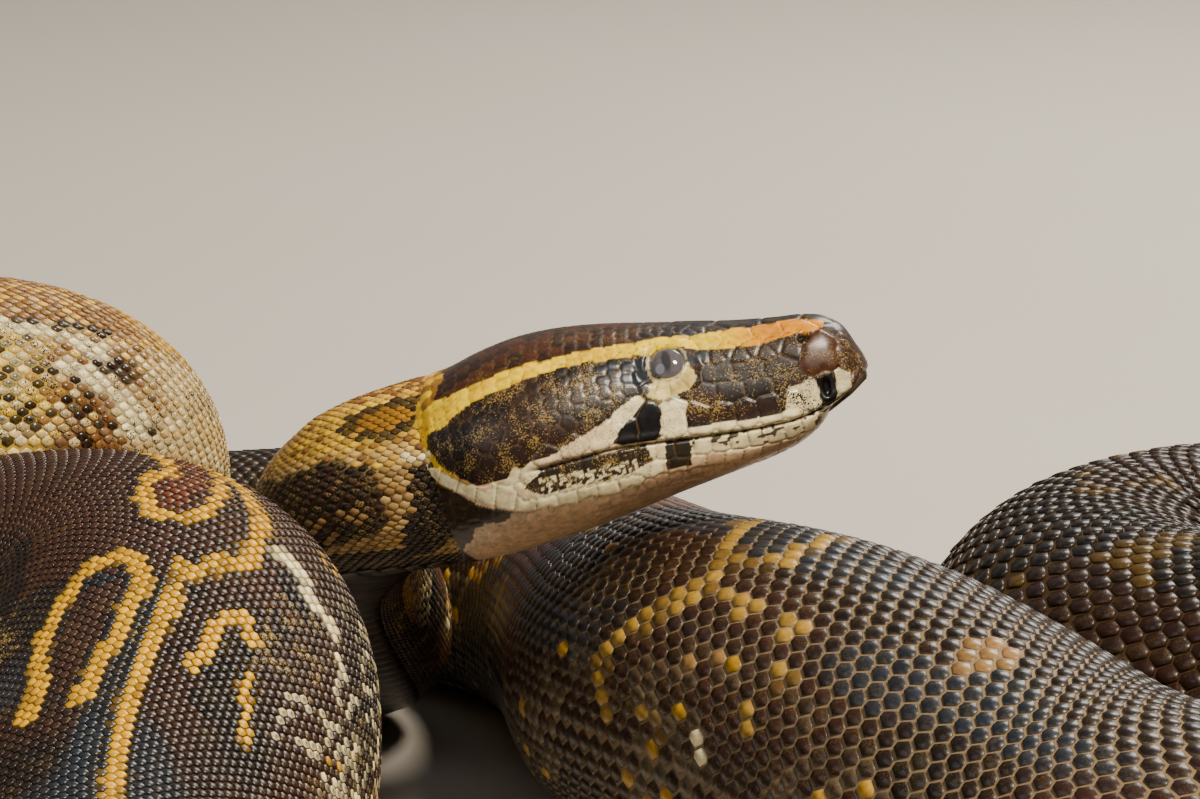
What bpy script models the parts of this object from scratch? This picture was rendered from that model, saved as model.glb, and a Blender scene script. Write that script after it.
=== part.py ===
"""Life-size still model of a coiled African rock python, 2.94 m long.

One snake lies in a single layer on the floor. Its neck drops behind the head, its fore body rises
over the thin rear body twice, and its head rests on the coil that lies below it. The body is divided
into lengths by thin plane cuts. All sizes are in metres unless a name says otherwise.
"""
import bpy
import bmesh
import numpy as np
from math import cos, pi, radians, sin
from mathutils import Matrix, Vector

MM = 0.001

# Driving dimensions
NAME = "coiled_rock_python"
HEAD_LENGTH = 0.097           # snout tip to the back of the jaw
HEAD_PITCH = radians(13.4)    # nose up
HEAD_YAW = radians(-3.0)      # nose a little to the snake's right
HEAD_ROLL = radians(-7.0)     # crown leans to the snake's left
HEAD_BACK = (-35, 3, 101)     # mm, where the head's axis meets the neck
PLAN_MIDDLE = (46.6, -47.6)   # mm, middle of the plan, which becomes the origin
BELLY = 0.90                  # depth below the axis over the half-width
FLANK_POWER = 2.6             # how square the lower flanks are (2 is an ellipse)
CUT = 0.3 * MM                # gap between neighbouring lengths
BODY_SIDES = 16
RING_STEP = 0.020             # spacing of the rings along the body
EYE_RADIUS = 5.4 * MM         # most of the ball is sunk: what shows is 8.4 mm wide and 2 mm proud
EYE_CLEARANCE = 0.3 * MM
EYE_FROM_SNOUT = 42.4 * MM
EYE_HEIGHT = 8.0 * MM
EYE_OFFSET = 13.4 * MM        # sideways, from the head's middle plane

# The body's line, mm: bends of a uniform cubic B-spline, from the jaw to the tail's tip
COURSE = (
    (-35, 3, 96), (-70, 5, 88), (-48, 104, 23), (-90, 131, 20), (-128, 113, 39),        # neck
    (-110, 81, 82), (-144, 54, 106), (-244, 44, 78), (-240, -23, 56),                   # back left
    (-188, -41, 52), (-73, -65, 90), (-98, -168, 52),                                   # front left
    (-94, -245, 25), (43, -264, 34), (123, -252, 34), (217, -258, 34),                  # front
    (299, -198, 34), (328, -113, 34), (323, -31, 34), (275, 20, 34), (184, 81, 34),     # right
    (121, 68, 34), (105, 1, 34), (182, -45, 34), (238, -93, 34), (210, -166, 34),       # inner right
    (122, -160, 27), (60, -59, 57), (14, -2, 47), (12, 101, 30),                        # under the head
    (-27, 174, 22), (-122, 190, 18), (-191, 139, 16), (-181, 42, 14),                   # rear
    (-116, -17, 12), (-64, -87, 6), (-20, -167, 3), (45, -145, 1),                      # tail
)

# Half-width of the body, mm, at fractions of its length from the jaw
GIRTH = (
    (0, 23), (.012, 20.5), (.035, 22), (.07, 26.5), (.105, 32), (.14, 37.5), (.175, 42), (.21, 43.5),
    (.26, 45), (.32, 46), (.42, 46.5), (.50, 45.5), (.57, 44.5), (.65, 44.5), (.70, 44), (.74, 39.5),
    (.78, 34), (.82, 29), (.87, 25), (.91, 21), (.945, 16), (.97, 11), (.988, 6.5), (1, 2.5),
)

# Where each length ends, mm from the jaw; the tail starts behind the last one
LENGTH_ENDS = (150, 290, 430, 580, 770, 1010, 1250, 1470, 1640, 1860, 2060, 2280, 2500)

# Head outlines, mm against mm behind the snout: half-width, crown, mouth line and throat heights
HALF_WIDTH = ((0, 5.2), (2, 8.0), (6, 10.4), (11, 12.4), (18, 14.6), (28, 17.2), (38, 19.4), (48, 22.2),
              (58, 25.6), (68, 28.4), (77, 29.6), (86, 28.6), (92, 25.8), (97, 23))
CROWN = ((0, 2.6), (2, 7.4), (6, 11.0), (11, 12.7), (18, 13.5), (28, 14.9), (38, 16.8), (48, 18.8),
         (58, 20.6), (68, 21.6), (77, 21.4), (86, 19.8), (92, 18.2), (97, 17.6))
MOUTH = ((0, -2.6), (2, -4.3), (5, -5.5), (10, -6.9), (17, -8.2), (26, -8.1), (34, -7.4), (40, -6.8),
         (57, -4.9), (70, -5.0), (97, -6.2))
THROAT = ((0, -4.4), (2, -6.0), (6, -8.4), (11, -11.4), (18, -14.8), (28, -17.3), (38, -19.0),
          (48, -20.6), (58, -22.4), (68, -23.9), (77, -24.9), (86, -25.6), (92, -25.8), (97, -25.7))
HEAD_STATIONS = (0, 1.2, 3.5, 7, 11, 15, 20, 25, 30, 35, 40, 45, 50, 55, 60, 65, 70, 75, 80, 85, 90, 94, 97)
HALF_SIDES = 12               # faces over the crown, and as many under the throat

COLOURS = {
    "head": (0.055, 0.034, 0.022),
    "lower_jaw": (0.62, 0.50, 0.38),
    "neck": (0.13, 0.075, 0.035),
    "trunk": (0.060, 0.040, 0.028),
    "tail": (0.10, 0.060, 0.030),
    "eye": (0.030, 0.032, 0.042),
}


def clear_scene():
    """Remove whatever the scene holds."""
    for item in list(bpy.data.objects):
        bpy.data.objects.remove(item, do_unlink=True)


def new_material(name, colour, roughness):
    """A Principled material with one colour."""
    material = bpy.data.materials.new(name)
    material.use_nodes = True
    shader = material.node_tree.nodes["Principled BSDF"]
    shader.inputs["Base Color"].default_value = (*colour, 1.0)
    shader.inputs["Roughness"].default_value = roughness
    shader.inputs["Metallic"].default_value = 0.0
    return material


def smooth_through(knots):
    """A function that runs smoothly through (x, y) knots: cubic Hermite spans."""
    x, y = np.array(knots, float).T
    slope = np.gradient(y, x)

    def value(at):
        i = int(np.clip(np.searchsorted(x, at) - 1, 0, len(x) - 2))
        h = x[i + 1] - x[i]
        t = min(max((at - x[i]) / h, 0.0), 1.0)
        start = (1 + 2 * t) * (1 - t) ** 2 * y[i] + t * (1 - t) ** 2 * h * slope[i]
        end = t * t * (3 - 2 * t) * y[i + 1] + t * t * (t - 1) * h * slope[i + 1]
        return float(start + end)

    return value


def unit(vector):
    return vector / np.linalg.norm(vector)


def smooth_step(t):
    t = min(max(t, 0.0), 1.0)
    return t * t * (3 - 2 * t)


# ---------------------------------------------------------------- the body's line

def spline_points(bends, per_span=60):
    """Points of a uniform cubic B-spline; reflected bends hold its two ends."""
    p = np.array(bends, float)
    p[:, :2] -= PLAN_MIDDLE
    p *= MM
    p = np.vstack([2 * p[0] - p[1], p, 2 * p[-1] - p[-2]])
    t = (np.arange(per_span) / per_span)[:, None]
    weights = ((1 - t) ** 3 / 6, (3 * t ** 3 - 6 * t ** 2 + 4) / 6,
               (-3 * t ** 3 + 3 * t ** 2 + 3 * t + 1) / 6, t ** 3 / 6)
    spans = [sum(w * p[i + k] for k, w in enumerate(weights)) for i in range(len(p) - 3)]
    return np.vstack(spans + [p[-2][None]])


class BodyLine:
    """The body's axis by distance from the jaw, with its half-width and its frame."""

    def __init__(self, step=0.004, blend=0.024):
        rough = spline_points(COURSE)
        along = np.r_[0, np.cumsum(np.linalg.norm(np.diff(rough, axis=0), axis=1))]
        self.length = float(along[-1])
        self.s = np.linspace(0, self.length, int(self.length / step) + 1)
        self.points = np.stack([np.interp(self.s, along, rough[:, k]) for k in range(3)], 1)
        girth = smooth_through(GIRTH)
        self.radius = np.array([girth(s / self.length) for s in self.s]) * MM
        # what is not held up lies on the floor: the lift is zero there, and starts softly
        lift = np.maximum(self.points[:, 2] - FLOOR_DEPTH * self.radius, 0)
        reach = int(blend / step)
        window = np.hanning(2 * reach + 3)[1:-1]
        eased = np.convolve(np.pad(lift, reach, mode="edge"), window / window.sum(), mode="valid")
        eased[:reach] = lift[:reach]
        self.points[:, 2] = FLOOR_DEPTH * self.radius + eased
        self.tangents = np.gradient(self.points, self.s, axis=0)

    def at(self, s):
        """Centre, left, up and half-width at a distance from the jaw."""
        centre = np.array([np.interp(s, self.s, self.points[:, k]) for k in range(3)])
        ahead = -unit(np.array([np.interp(s, self.s, self.tangents[:, k]) for k in range(3)]))
        left = unit(np.cross((0, 0, 1), ahead))
        up = np.cross(ahead, left)
        roll = HEAD_ROLL * (1 - smooth_step(s / 0.12))
        left, up = left * cos(roll) + up * sin(roll), up * cos(roll) - left * sin(roll)
        return centre, left, up, float(np.interp(s, self.s, self.radius))


def body_section():
    """Outline of the body for a half-width of 1: round above, squarer below, flat at the belly."""
    outline = []
    for k in range(BODY_SIDES):
        angle = 2 * pi * (k + 0.5) / BODY_SIDES
        c, s = cos(angle), sin(angle)
        if s < 0:
            power = 2 / FLANK_POWER
            c, s = abs(c) ** power * (1 if c > 0 else -1), -BELLY * abs(s) ** power
        outline.append((c, s))
    return outline


SECTION = body_section()
FLOOR_DEPTH = -min(height for _, height in SECTION)


# ---------------------------------------------------------------- meshes

def loft(name, rings):
    """One closed mesh through rings of equal size, with a flat face at each end."""
    mesh = bmesh.new()
    loops = [[mesh.verts.new(point) for point in ring] for ring in rings]
    count = len(loops[0])
    for a, b in zip(loops, loops[1:]):
        for k in range(count):
            n = (k + 1) % count
            mesh.faces.new((a[k], a[n], b[n], b[k]))
    mesh.faces.new(loops[0])
    mesh.faces.new(loops[-1][::-1])
    bmesh.ops.recalc_face_normals(mesh, faces=mesh.faces)
    bmesh.ops.triangulate(mesh, faces=mesh.faces)
    return to_object(name, mesh)


def to_object(name, mesh):
    """A smooth-shaded object from a bmesh."""
    data = bpy.data.meshes.new(name)
    mesh.to_mesh(data)
    mesh.free()
    data.shade_smooth()
    data.set_sharp_from_angle(angle=radians(40))
    return bpy.data.objects.new(name, data)


def body_length(name, line, start, end):
    """The stretch of body between two plane cuts."""
    count = max(2, round((end - start) / RING_STEP))
    rings = []
    for s in np.linspace(start, end, count + 1):
        centre, left, up, radius = line.at(s)
        ring = [centre + radius * (c * left + h * up) for c, h in SECTION]
        rings.append([(p[0], p[1], max(p[2], 0.0)) for p in ring])
    return loft(name, rings)


def head_matrix():
    """Head frame: x to the snout, y to the snake's left, z to its crown, origin at the neck."""
    back = Vector(HEAD_BACK) * MM
    back -= Vector((*PLAN_MIDDLE, 0)) * MM
    turn = Matrix.Rotation(HEAD_YAW, 4, "Z") @ Matrix.Rotation(-HEAD_PITCH, 4, "Y")
    return Matrix.Translation(back) @ turn @ Matrix.Rotation(HEAD_ROLL, 4, "X")


def head_half(name, upper, matrix):
    """The skull with the upper jaw, or the lower jaw, as a loft that is flat along the mouth."""
    width, crown, mouth, throat = (smooth_through(k) for k in (HALF_WIDTH, CROWN, MOUTH, THROAT))
    rings = []
    for behind in HEAD_STATIONS:
        half, lips = width(behind), mouth(behind)
        reach = (crown(behind) if upper else throat(behind)) - lips
        squareness = 2 / (2.5 if upper else 2.3)
        ring = []
        for k in range(HALF_SIDES + 1):
            angle = pi * k / HALF_SIDES
            side = abs(cos(angle)) ** squareness * (1 if angle < pi / 2 else -1)
            if abs(cos(angle)) < 1e-9:
                side = 0.0
            rise = sin(angle) ** squareness if 0 < k < HALF_SIDES else 0.0
            gap = CUT / MM / 2 * (1 if upper else -1)
            point = Vector((HEAD_LENGTH / MM - behind, half * side, lips + gap + (reach - gap) * rise))
            ring.append(matrix @ (point * MM))
        rings.append(ring)
    return loft(name, rings)


def eye_place(side):
    return Vector((HEAD_LENGTH - EYE_FROM_SNOUT, side * EYE_OFFSET, EYE_HEIGHT))


def ball(name, radius, matrix):
    """A sphere whose pole points out of the head's side."""
    mesh = bmesh.new()
    bmesh.ops.create_uvsphere(mesh, u_segments=16, v_segments=10, radius=radius)
    bmesh.ops.transform(mesh, matrix=matrix @ Matrix.Rotation(pi / 2, 4, "X"), verts=mesh.verts)
    return to_object(name, mesh)


def sink_sockets(head, matrix, parts, cutters):
    """Cut a round socket for each eye, with clearance all round."""
    for side, place in ((1, "left"), (-1, "right")):
        cutter = ball("socket_" + place, EYE_RADIUS + EYE_CLEARANCE,
                      matrix @ Matrix.Translation(eye_place(side)))
        cutter.hide_render = True
        cutter.display_type = "WIRE"
        cutters.objects.link(cutter)
        cut = head.modifiers.new("socket_" + place, "BOOLEAN")
        cut.operation = "DIFFERENCE"
        cut.solver = "EXACT"
        cut.object = cutter
        eye = ball("eye_" + place, EYE_RADIUS, matrix @ Matrix.Translation(eye_place(side)))
        parts.objects.link(eye)
        eye.data.materials.append(new_material("eye_" + place, COLOURS["eye"], 0.12))


def main():
    clear_scene()
    parts = bpy.data.collections.new(NAME)
    cutters = bpy.data.collections.new("cutters")
    for collection in (parts, cutters):
        bpy.context.scene.collection.children.link(collection)

    matrix = head_matrix()
    head = head_half("head", True, matrix)
    jaw = head_half("lower_jaw", False, matrix)
    for piece, roughness in ((head, 0.35), (jaw, 0.45)):
        parts.objects.link(piece)
        piece.data.materials.append(new_material(piece.name, COLOURS[piece.name], roughness))
    sink_sockets(head, matrix, parts, cutters)

    line = BodyLine()
    ends = [0.0] + [end * MM for end in LENGTH_ENDS] + [line.length]
    for index, (start, end) in enumerate(zip(ends, ends[1:])):
        kind = "neck" if index == 0 else "tail" if index == len(ends) - 2 else "trunk"
        name = kind if kind != "trunk" else f"trunk_{index:02d}"
        first = start + (CUT if index == 0 else CUT / 2)
        piece = body_length(name, line, first, end - (CUT / 2 if kind != "tail" else 0))
        parts.objects.link(piece)
        piece.data.materials.append(new_material(name, COLOURS[kind], 0.35))


main()
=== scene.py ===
"""The looks of a coiled African rock python: one skin, its coat of scales, its head shields and its eyes.

The snake's line, girth and head outlines are those of the solids. The skin lies under them by the coat's
depth, and the scales stand on it as closed meshes. A point of the body is named by its distance from the
jaw (s, metres) and its angle from the middle of the back (t, degrees, positive on the snake's right).
A point of the head is named by its distance behind the snout (mm) and the same angle, with the mouth at 90.
"""
from math import cos, pi, radians, sin

import bmesh
import bpy
import numpy as np
from bpy.props import FloatProperty, FloatVectorProperty, PointerProperty
from mathutils import Matrix, Vector


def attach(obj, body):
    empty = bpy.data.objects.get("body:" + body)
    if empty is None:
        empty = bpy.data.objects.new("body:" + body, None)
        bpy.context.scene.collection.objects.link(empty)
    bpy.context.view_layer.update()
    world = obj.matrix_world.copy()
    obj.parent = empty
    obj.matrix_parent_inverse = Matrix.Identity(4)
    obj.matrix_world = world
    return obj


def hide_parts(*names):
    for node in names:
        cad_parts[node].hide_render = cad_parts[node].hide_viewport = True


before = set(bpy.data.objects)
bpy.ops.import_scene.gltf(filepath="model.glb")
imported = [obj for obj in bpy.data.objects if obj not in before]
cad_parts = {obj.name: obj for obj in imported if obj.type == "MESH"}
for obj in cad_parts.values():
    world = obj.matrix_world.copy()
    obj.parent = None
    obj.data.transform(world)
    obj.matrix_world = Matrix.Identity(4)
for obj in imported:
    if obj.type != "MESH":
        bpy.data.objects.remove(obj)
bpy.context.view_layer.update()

bl_info = {
    "name": "Coiled rock python",
    "version": (1, 0, 0),
    "blender": (4, 5, 0),
    "location": "3D View > Sidebar > Python",
    "description": "Builds the skin, scales, shields and eyes of a coiled rock python",
    "category": "Object",
}

MM = 0.001
BODY = "root"

# ---------------------------------------------------------------- the snake's sizes, as in the solids

HEAD_LENGTH = 97              # mm
HEAD_PITCH = radians(13.4)
HEAD_YAW = radians(-3.0)
HEAD_ROLL = radians(-7.0)
HEAD_BACK = (-35, 3, 101)
PLAN_MIDDLE = (46.6, -47.6)
BELLY = 0.90
FLANK_POWER = 2.6
CROWN_POWER = 2.5
JAW_POWER = 2.3
FLOOR_DEPTH = 0.888           # height of the axis above the floor, in half-widths

# Bends of the body's line, mm, from the jaw to the tail's tip
COURSE = (
    (-35, 3, 96), (-70, 5, 88), (-48, 104, 23), (-90, 131, 20), (-128, 113, 39),
    (-110, 81, 82), (-144, 54, 106), (-244, 44, 78), (-240, -23, 56),
    (-188, -41, 52), (-73, -65, 90), (-98, -168, 52),
    (-94, -245, 25), (43, -264, 34), (123, -252, 34), (217, -258, 34),
    (299, -198, 34), (328, -113, 34), (323, -31, 34), (275, 20, 34), (184, 81, 34),
    (121, 68, 34), (105, 1, 34), (182, -45, 34), (238, -93, 34), (210, -166, 34),
    (122, -160, 27), (60, -59, 57), (14, -2, 47), (12, 101, 30),
    (-27, 174, 22), (-122, 190, 18), (-191, 139, 16), (-181, 42, 14),
    (-116, -17, 12), (-64, -87, 6), (-20, -167, 3), (45, -145, 1),
)
# Half-width, mm, at shares of the body's length
GIRTH = (
    (0, 23), (.012, 20.5), (.035, 22), (.07, 26.5), (.105, 32), (.14, 37.5), (.175, 42), (.21, 43.5),
    (.26, 45), (.32, 46), (.42, 46.5), (.50, 45.5), (.57, 44.5), (.65, 44.5), (.70, 44), (.74, 39.5),
    (.78, 34), (.82, 29), (.87, 25), (.91, 21), (.945, 16), (.97, 11), (.988, 6.5), (1, 2.5),
)
# Head outlines, mm against mm behind the snout
HALF_WIDTH = ((0, 5.2), (2, 8.0), (6, 10.4), (11, 12.4), (18, 14.6), (28, 17.2), (38, 19.4), (48, 22.2),
              (58, 25.6), (68, 28.4), (77, 29.6), (86, 28.6), (92, 25.8), (97, 23))
CROWN = ((0, 2.6), (2, 7.4), (6, 11.0), (11, 12.7), (18, 13.5), (28, 14.9), (38, 16.8), (48, 18.8),
         (58, 20.6), (68, 21.6), (77, 21.4), (86, 19.8), (92, 18.2), (97, 17.6))
MOUTH = ((0, -2.6), (2, -4.3), (5, -5.5), (10, -6.9), (17, -8.2), (26, -8.1), (34, -7.4), (40, -6.8),
         (57, -4.9), (70, -5.0), (97, -6.2))
THROAT = ((0, -4.4), (2, -6.0), (6, -8.4), (11, -11.4), (18, -14.8), (28, -17.3), (38, -19.0),
          (48, -20.6), (58, -22.4), (68, -23.9), (77, -24.9), (86, -25.6), (92, -25.8), (97, -25.7))
MOUTH_CORNER = 76             # mm behind the snout

EYE_BEHIND = 42.4             # mm behind the snout
EYE_CENTRE = (HEAD_LENGTH - EYE_BEHIND, 13.4, 8.0)   # mm, on the left; mirrored on the right
EYE_RADIUS = 5.4
EYE_SHOWS = 3.9               # mm, half-width of the disc that the lids leave open
EYE_AXIS = (0.05, 0.80, 0.60)


def clamp(x, low=0.0, high=1.0):
    """The nearest value between two ends."""
    return np.minimum(np.maximum(x, low), high)


def smooth_step(t):
    """0 to 1 without a corner at either end."""
    t = clamp(t)
    return t * t * (3 - 2 * t)


def ramp(x, low, high):
    """0 below low, 1 above high, smooth between."""
    return smooth_step((x - low) / (high - low))


def smooth_through(knots):
    """A function that runs smoothly through (x, y) knots, for arrays."""
    x, y = np.array(knots, float).T
    slope = np.gradient(y, x)

    def value(at):
        i = np.clip(np.searchsorted(x, at) - 1, 0, len(x) - 2)
        h = x[i + 1] - x[i]
        t = clamp((at - x[i]) / h)
        start = (1 + 2 * t) * (1 - t) ** 2 * y[i] + t * (1 - t) ** 2 * h * slope[i]
        end = t * t * (3 - 2 * t) * y[i + 1] + t * t * (t - 1) * h * slope[i + 1]
        return start + end

    return value


def unit(v):
    """Directions of length 1."""
    return v / np.linalg.norm(v, axis=-1, keepdims=True)


half_width, crown, mouth, throat = (smooth_through(k) for k in (HALF_WIDTH, CROWN, MOUTH, THROAT))


# ---------------------------------------------------------------- the body's line

def between(at, knots, vectors):
    """Vectors at places between knots."""
    return np.stack([np.interp(at, knots, values) for values in vectors.T], -1)


class BodyLine:
    """The body's axis by distance from the jaw, with its half-width and its frame."""

    def __init__(self, step=0.004, blend=0.024, per_span=60):
        p = np.array(COURSE, float)
        p[:, :2] -= PLAN_MIDDLE
        p = np.vstack([2 * p[0] - p[1], p, 2 * p[-1] - p[-2]]) * MM
        t = (np.arange(per_span) / per_span)[:, None]
        weights = ((1 - t) ** 3 / 6, (3 * t ** 3 - 6 * t ** 2 + 4) / 6,
                   (-3 * t ** 3 + 3 * t ** 2 + 3 * t + 1) / 6, t ** 3 / 6)
        spans = [sum(w * p[i + k] for k, w in enumerate(weights)) for i in range(len(p) - 3)]
        rough = np.vstack(spans + [p[-2][None]])
        along = np.r_[0, np.cumsum(np.linalg.norm(np.diff(rough, axis=0), axis=1))]
        self.length = float(along[-1])
        self.s = np.linspace(0, self.length, int(self.length / step) + 1)
        self.points = between(self.s, along, rough)
        self.radii = smooth_through(GIRTH)(self.s / self.length) * MM
        lift = np.maximum(self.points[:, 2] - FLOOR_DEPTH * self.radii, 0)
        reach = int(blend / step)
        window = np.hanning(2 * reach + 3)[1:-1]
        eased = np.convolve(np.pad(lift, reach, mode="edge"), window / window.sum(), mode="valid")
        eased[:reach] = lift[:reach]
        self.points[:, 2] = FLOOR_DEPTH * self.radii + eased
        self.tangents = np.gradient(self.points, self.s, axis=0)
        bend = np.gradient(unit(self.tangents), self.s, axis=0)
        soft = np.hanning(13) / np.hanning(13).sum()
        self.bends = np.stack([np.convolve(np.pad(b, 6, mode="edge"), soft, mode="valid") for b in bend.T], 1)

    def radius(self, s):
        """Half-width at distances from the jaw, metres."""
        return np.interp(s, self.s, self.radii)

    def frame(self, s):
        """Centre, direction to the head, left and up, for an array of distances."""
        centre = between(s, self.s, self.points)
        ahead = -unit(between(s, self.s, self.tangents))
        left = unit(np.cross((0.0, 0.0, 1.0), ahead))
        up = np.cross(ahead, left)
        roll = (HEAD_ROLL * (1 - smooth_step(s / 0.12)))[..., None]
        return centre, ahead, left * np.cos(roll) + up * np.sin(roll), up * np.cos(roll) - left * np.sin(roll)


def body_section(t):
    """Across and up, for a half-width of 1, at angles from the back in degrees."""
    angle = np.radians(90 + t)
    c, s = np.cos(angle), np.sin(angle)
    power = 2 / FLANK_POWER
    low = s < 0
    across = np.where(low, np.sign(c) * np.abs(c) ** power, c)
    return across, np.where(low, -BELLY * np.abs(s) ** power, s)


def head_matrix():
    """Head frame: x to the snout, y to the snake's left, z to its crown, origin at the neck."""
    back = (Vector(HEAD_BACK) - Vector((*PLAN_MIDDLE, 0))) * MM
    turn = Matrix.Rotation(HEAD_YAW, 4, "Z") @ Matrix.Rotation(-HEAD_PITCH, 4, "Y")
    return Matrix.Translation(back) @ turn @ Matrix.Rotation(HEAD_ROLL, 4, "X")


LINE = BodyLine()
HEAD = np.array(head_matrix())


def to_world(local_mm):
    """Points of the head frame, mm, in the row frame, metres."""
    return local_mm * MM @ HEAD[:3, :3].T + HEAD[:3, 3]


def head_section(behind, t):
    """Head-frame points, mm, on the solids' outline."""
    lips = mouth(behind)
    below = np.abs(t) > 90
    power = np.where(below, 2 / JAW_POWER, 2 / CROWN_POWER)
    angle = np.radians(90 - np.where(below, 180 - np.abs(t), np.abs(t)))
    side = np.maximum(np.cos(angle), 0) ** power
    rise = np.maximum(np.sin(angle), 0) ** power
    reach = np.where(below, throat(behind), crown(behind)) - lips
    y = -np.sign(t) * half_width(behind) * side
    return np.stack([HEAD_LENGTH - behind + 0 * y, y, lips + reach * rise], -1)


def angle_at_height(behind, z):
    """The head angle, on the right, of the outline's point at a height in mm."""
    lips = mouth(behind)
    upper = z >= lips
    reach = np.where(upper, crown(behind), throat(behind)) - lips
    power = np.where(upper, CROWN_POWER, JAW_POWER) / 2
    lean = np.degrees(np.arcsin(clamp((z - lips) / reach) ** power))
    return np.where(upper, 90 - lean, 90 + lean)


def angle_at_side(behind, y):
    """The crown's angle at a distance from the middle in mm."""
    return np.degrees(np.arcsin(clamp(np.abs(y) / half_width(behind)) ** (CROWN_POWER / 2)))


# ---------------------------------------------------------------- colours and noise

# Colours by name: sRGB hex, and what each one colours
PIGMENTS = {
    "dark": ("#190e08", "Ground of the back and the cheeks"),
    "black": ("#0b0807", "Edges of the gold lines, wedge and lip marks"),
    "brown": ("#3c2010", "Brown clouds in the ground"),
    "gold": ("#dca406", "Lines of the back and the net of the neck"),
    "yellow": ("#fad207", "Stripes of the head"),
    "cream": ("#f8e8b4", "Lips, bars and pale rims"),
    "tan": ("#94703f", "Soft skin and duller marks"),
    "amber": ("#ac8530", "Lines of the stretched coil"),
    "horn": ("#9a8a70", "Skin between stretched scales"),
    "belly": ("#dfca9f", "Belly plates"),
    "throat": ("#dab68e", "Throat and lower jaw"),
    "copper": ("#4c2c18", "Nasal shields"),
    # painted sheen: slate is the blue-grey iridescent sheen of the dark scales, painted into their colour
    "slate": ("#1f2730", "Blue-grey clouds and the crown's front"),
    "orange": ("#e08a02", "Front ends of the head's stripes"),
    "rust": ("#6b3416", "Reddish saddles"),
    "dust": ("#a88a48", "Specks on dark scales"),
    "sand": ("#cfae6c", "Paler part of the neck and the raised bend"),
    # painted highlight: iris and pupil are lightened to grey, partly their own colour and partly the
    # spectacle's broad soft highlight painted in
    "iris": ("#4a464a", "Darker fibres of the iris"),
    "iris_light": ("#6e686c", "Lighter fibres of the iris"),
    "pupil": ("#383539", "Pupil, as it looks through the spectacle"),
    "floor": ("#c9c2b6", "Darker clouds of the floor"),
    "floor_light": ("#d3cdc2", "Lighter clouds of the floor"),
}


def linear(hex_colour):
    """An sRGB hex colour as linear red, green and blue."""
    srgb = [int(hex_colour[i:i + 2], 16) / 255 for i in (1, 3, 5)]
    return np.array([c / 12.92 if c <= 0.04045 else ((c + 0.055) / 1.055) ** 2.4 for c in srgb])


INK = {name: linear(value) for name, (value, _) in PIGMENTS.items()}


def mix(base, name, share):
    """Paint a palette colour over base by a share for each row."""
    return base + (INK[name] - base) * np.asarray(share)[..., None]


def lattice_random(i, j, seed=0):
    """A repeatable number from 0 to 1 for each pair of whole numbers."""
    with np.errstate(over="ignore"):
        h = (np.asarray(i, np.int64) * 374761393 + np.asarray(j, np.int64) * 668265263 + seed * 974634777)
        h = (h ^ (h >> 13)) * 1274126177
    return ((h ^ (h >> 16)) & 0xFFFFFF) / float(0xFFFFFF)


def noise(x, y, seed=0):
    """Smooth value noise from 0 to 1, with cells of size 1."""
    i, j = np.floor(x), np.floor(y)
    u, v = smooth_step(x - i), smooth_step(y - j)
    low = lattice_random(i, j, seed) * (1 - u) + lattice_random(i + 1, j, seed) * u
    high = lattice_random(i, j + 1, seed) * (1 - u) + lattice_random(i + 1, j + 1, seed) * u
    return low * (1 - v) + high * v


def two_octaves(x, y, seed=0):
    """Noise with finer noise over it, from 0 to 1."""
    return 0.68 * noise(x, y, seed) + 0.32 * noise(2.1 * x, 2.1 * y, seed + 7)


def near_stroke(x, y, points):
    """Distance to a line through points, in the points' units."""
    best = np.full(np.shape(x), 1e9)
    for (ax, ay), (bx, by) in zip(points, points[1:]):
        dx, dy = bx - ax, by - ay
        t = clamp(((x - ax) * dx + (y - ay) * dy) / (dx * dx + dy * dy))
        best = np.minimum(best, np.hypot(x - ax - t * dx, y - ay - t * dy))
    return best


def inside(x, y, corners):
    """True inside a polygon."""
    found = np.zeros(np.shape(x), bool)
    for (ax, ay), (bx, by) in zip(corners, corners[1:] + corners[:1]):
        crosses = (ay > y) != (by > y)
        at = ax + (y - ay) / (by - ay if by != ay else 1e-9) * (bx - ax)
        found ^= crosses & (x < at)
    return found


# ---------------------------------------------------------------- markings of the body

# Stretches with looks of their own, mm from the jaw: fades in, is full, is still full, has faded out
RAISED_BEND = (200, 232, 330, 400)
CALM_FLANK = (590, 610, 740, 770)
# painted shade: this coil's colour is darkened for the shade it lies in
SHADED_COIL = (1460, 1520, 1700, 1760)
STRETCHED_COIL = (1850, 1900, 2110, 2150)
DRAWN_BACKS = ((548, 560, 760, 772), (1868, 1880, 2110, 2122))    # only the lines below draw the gold here

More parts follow.
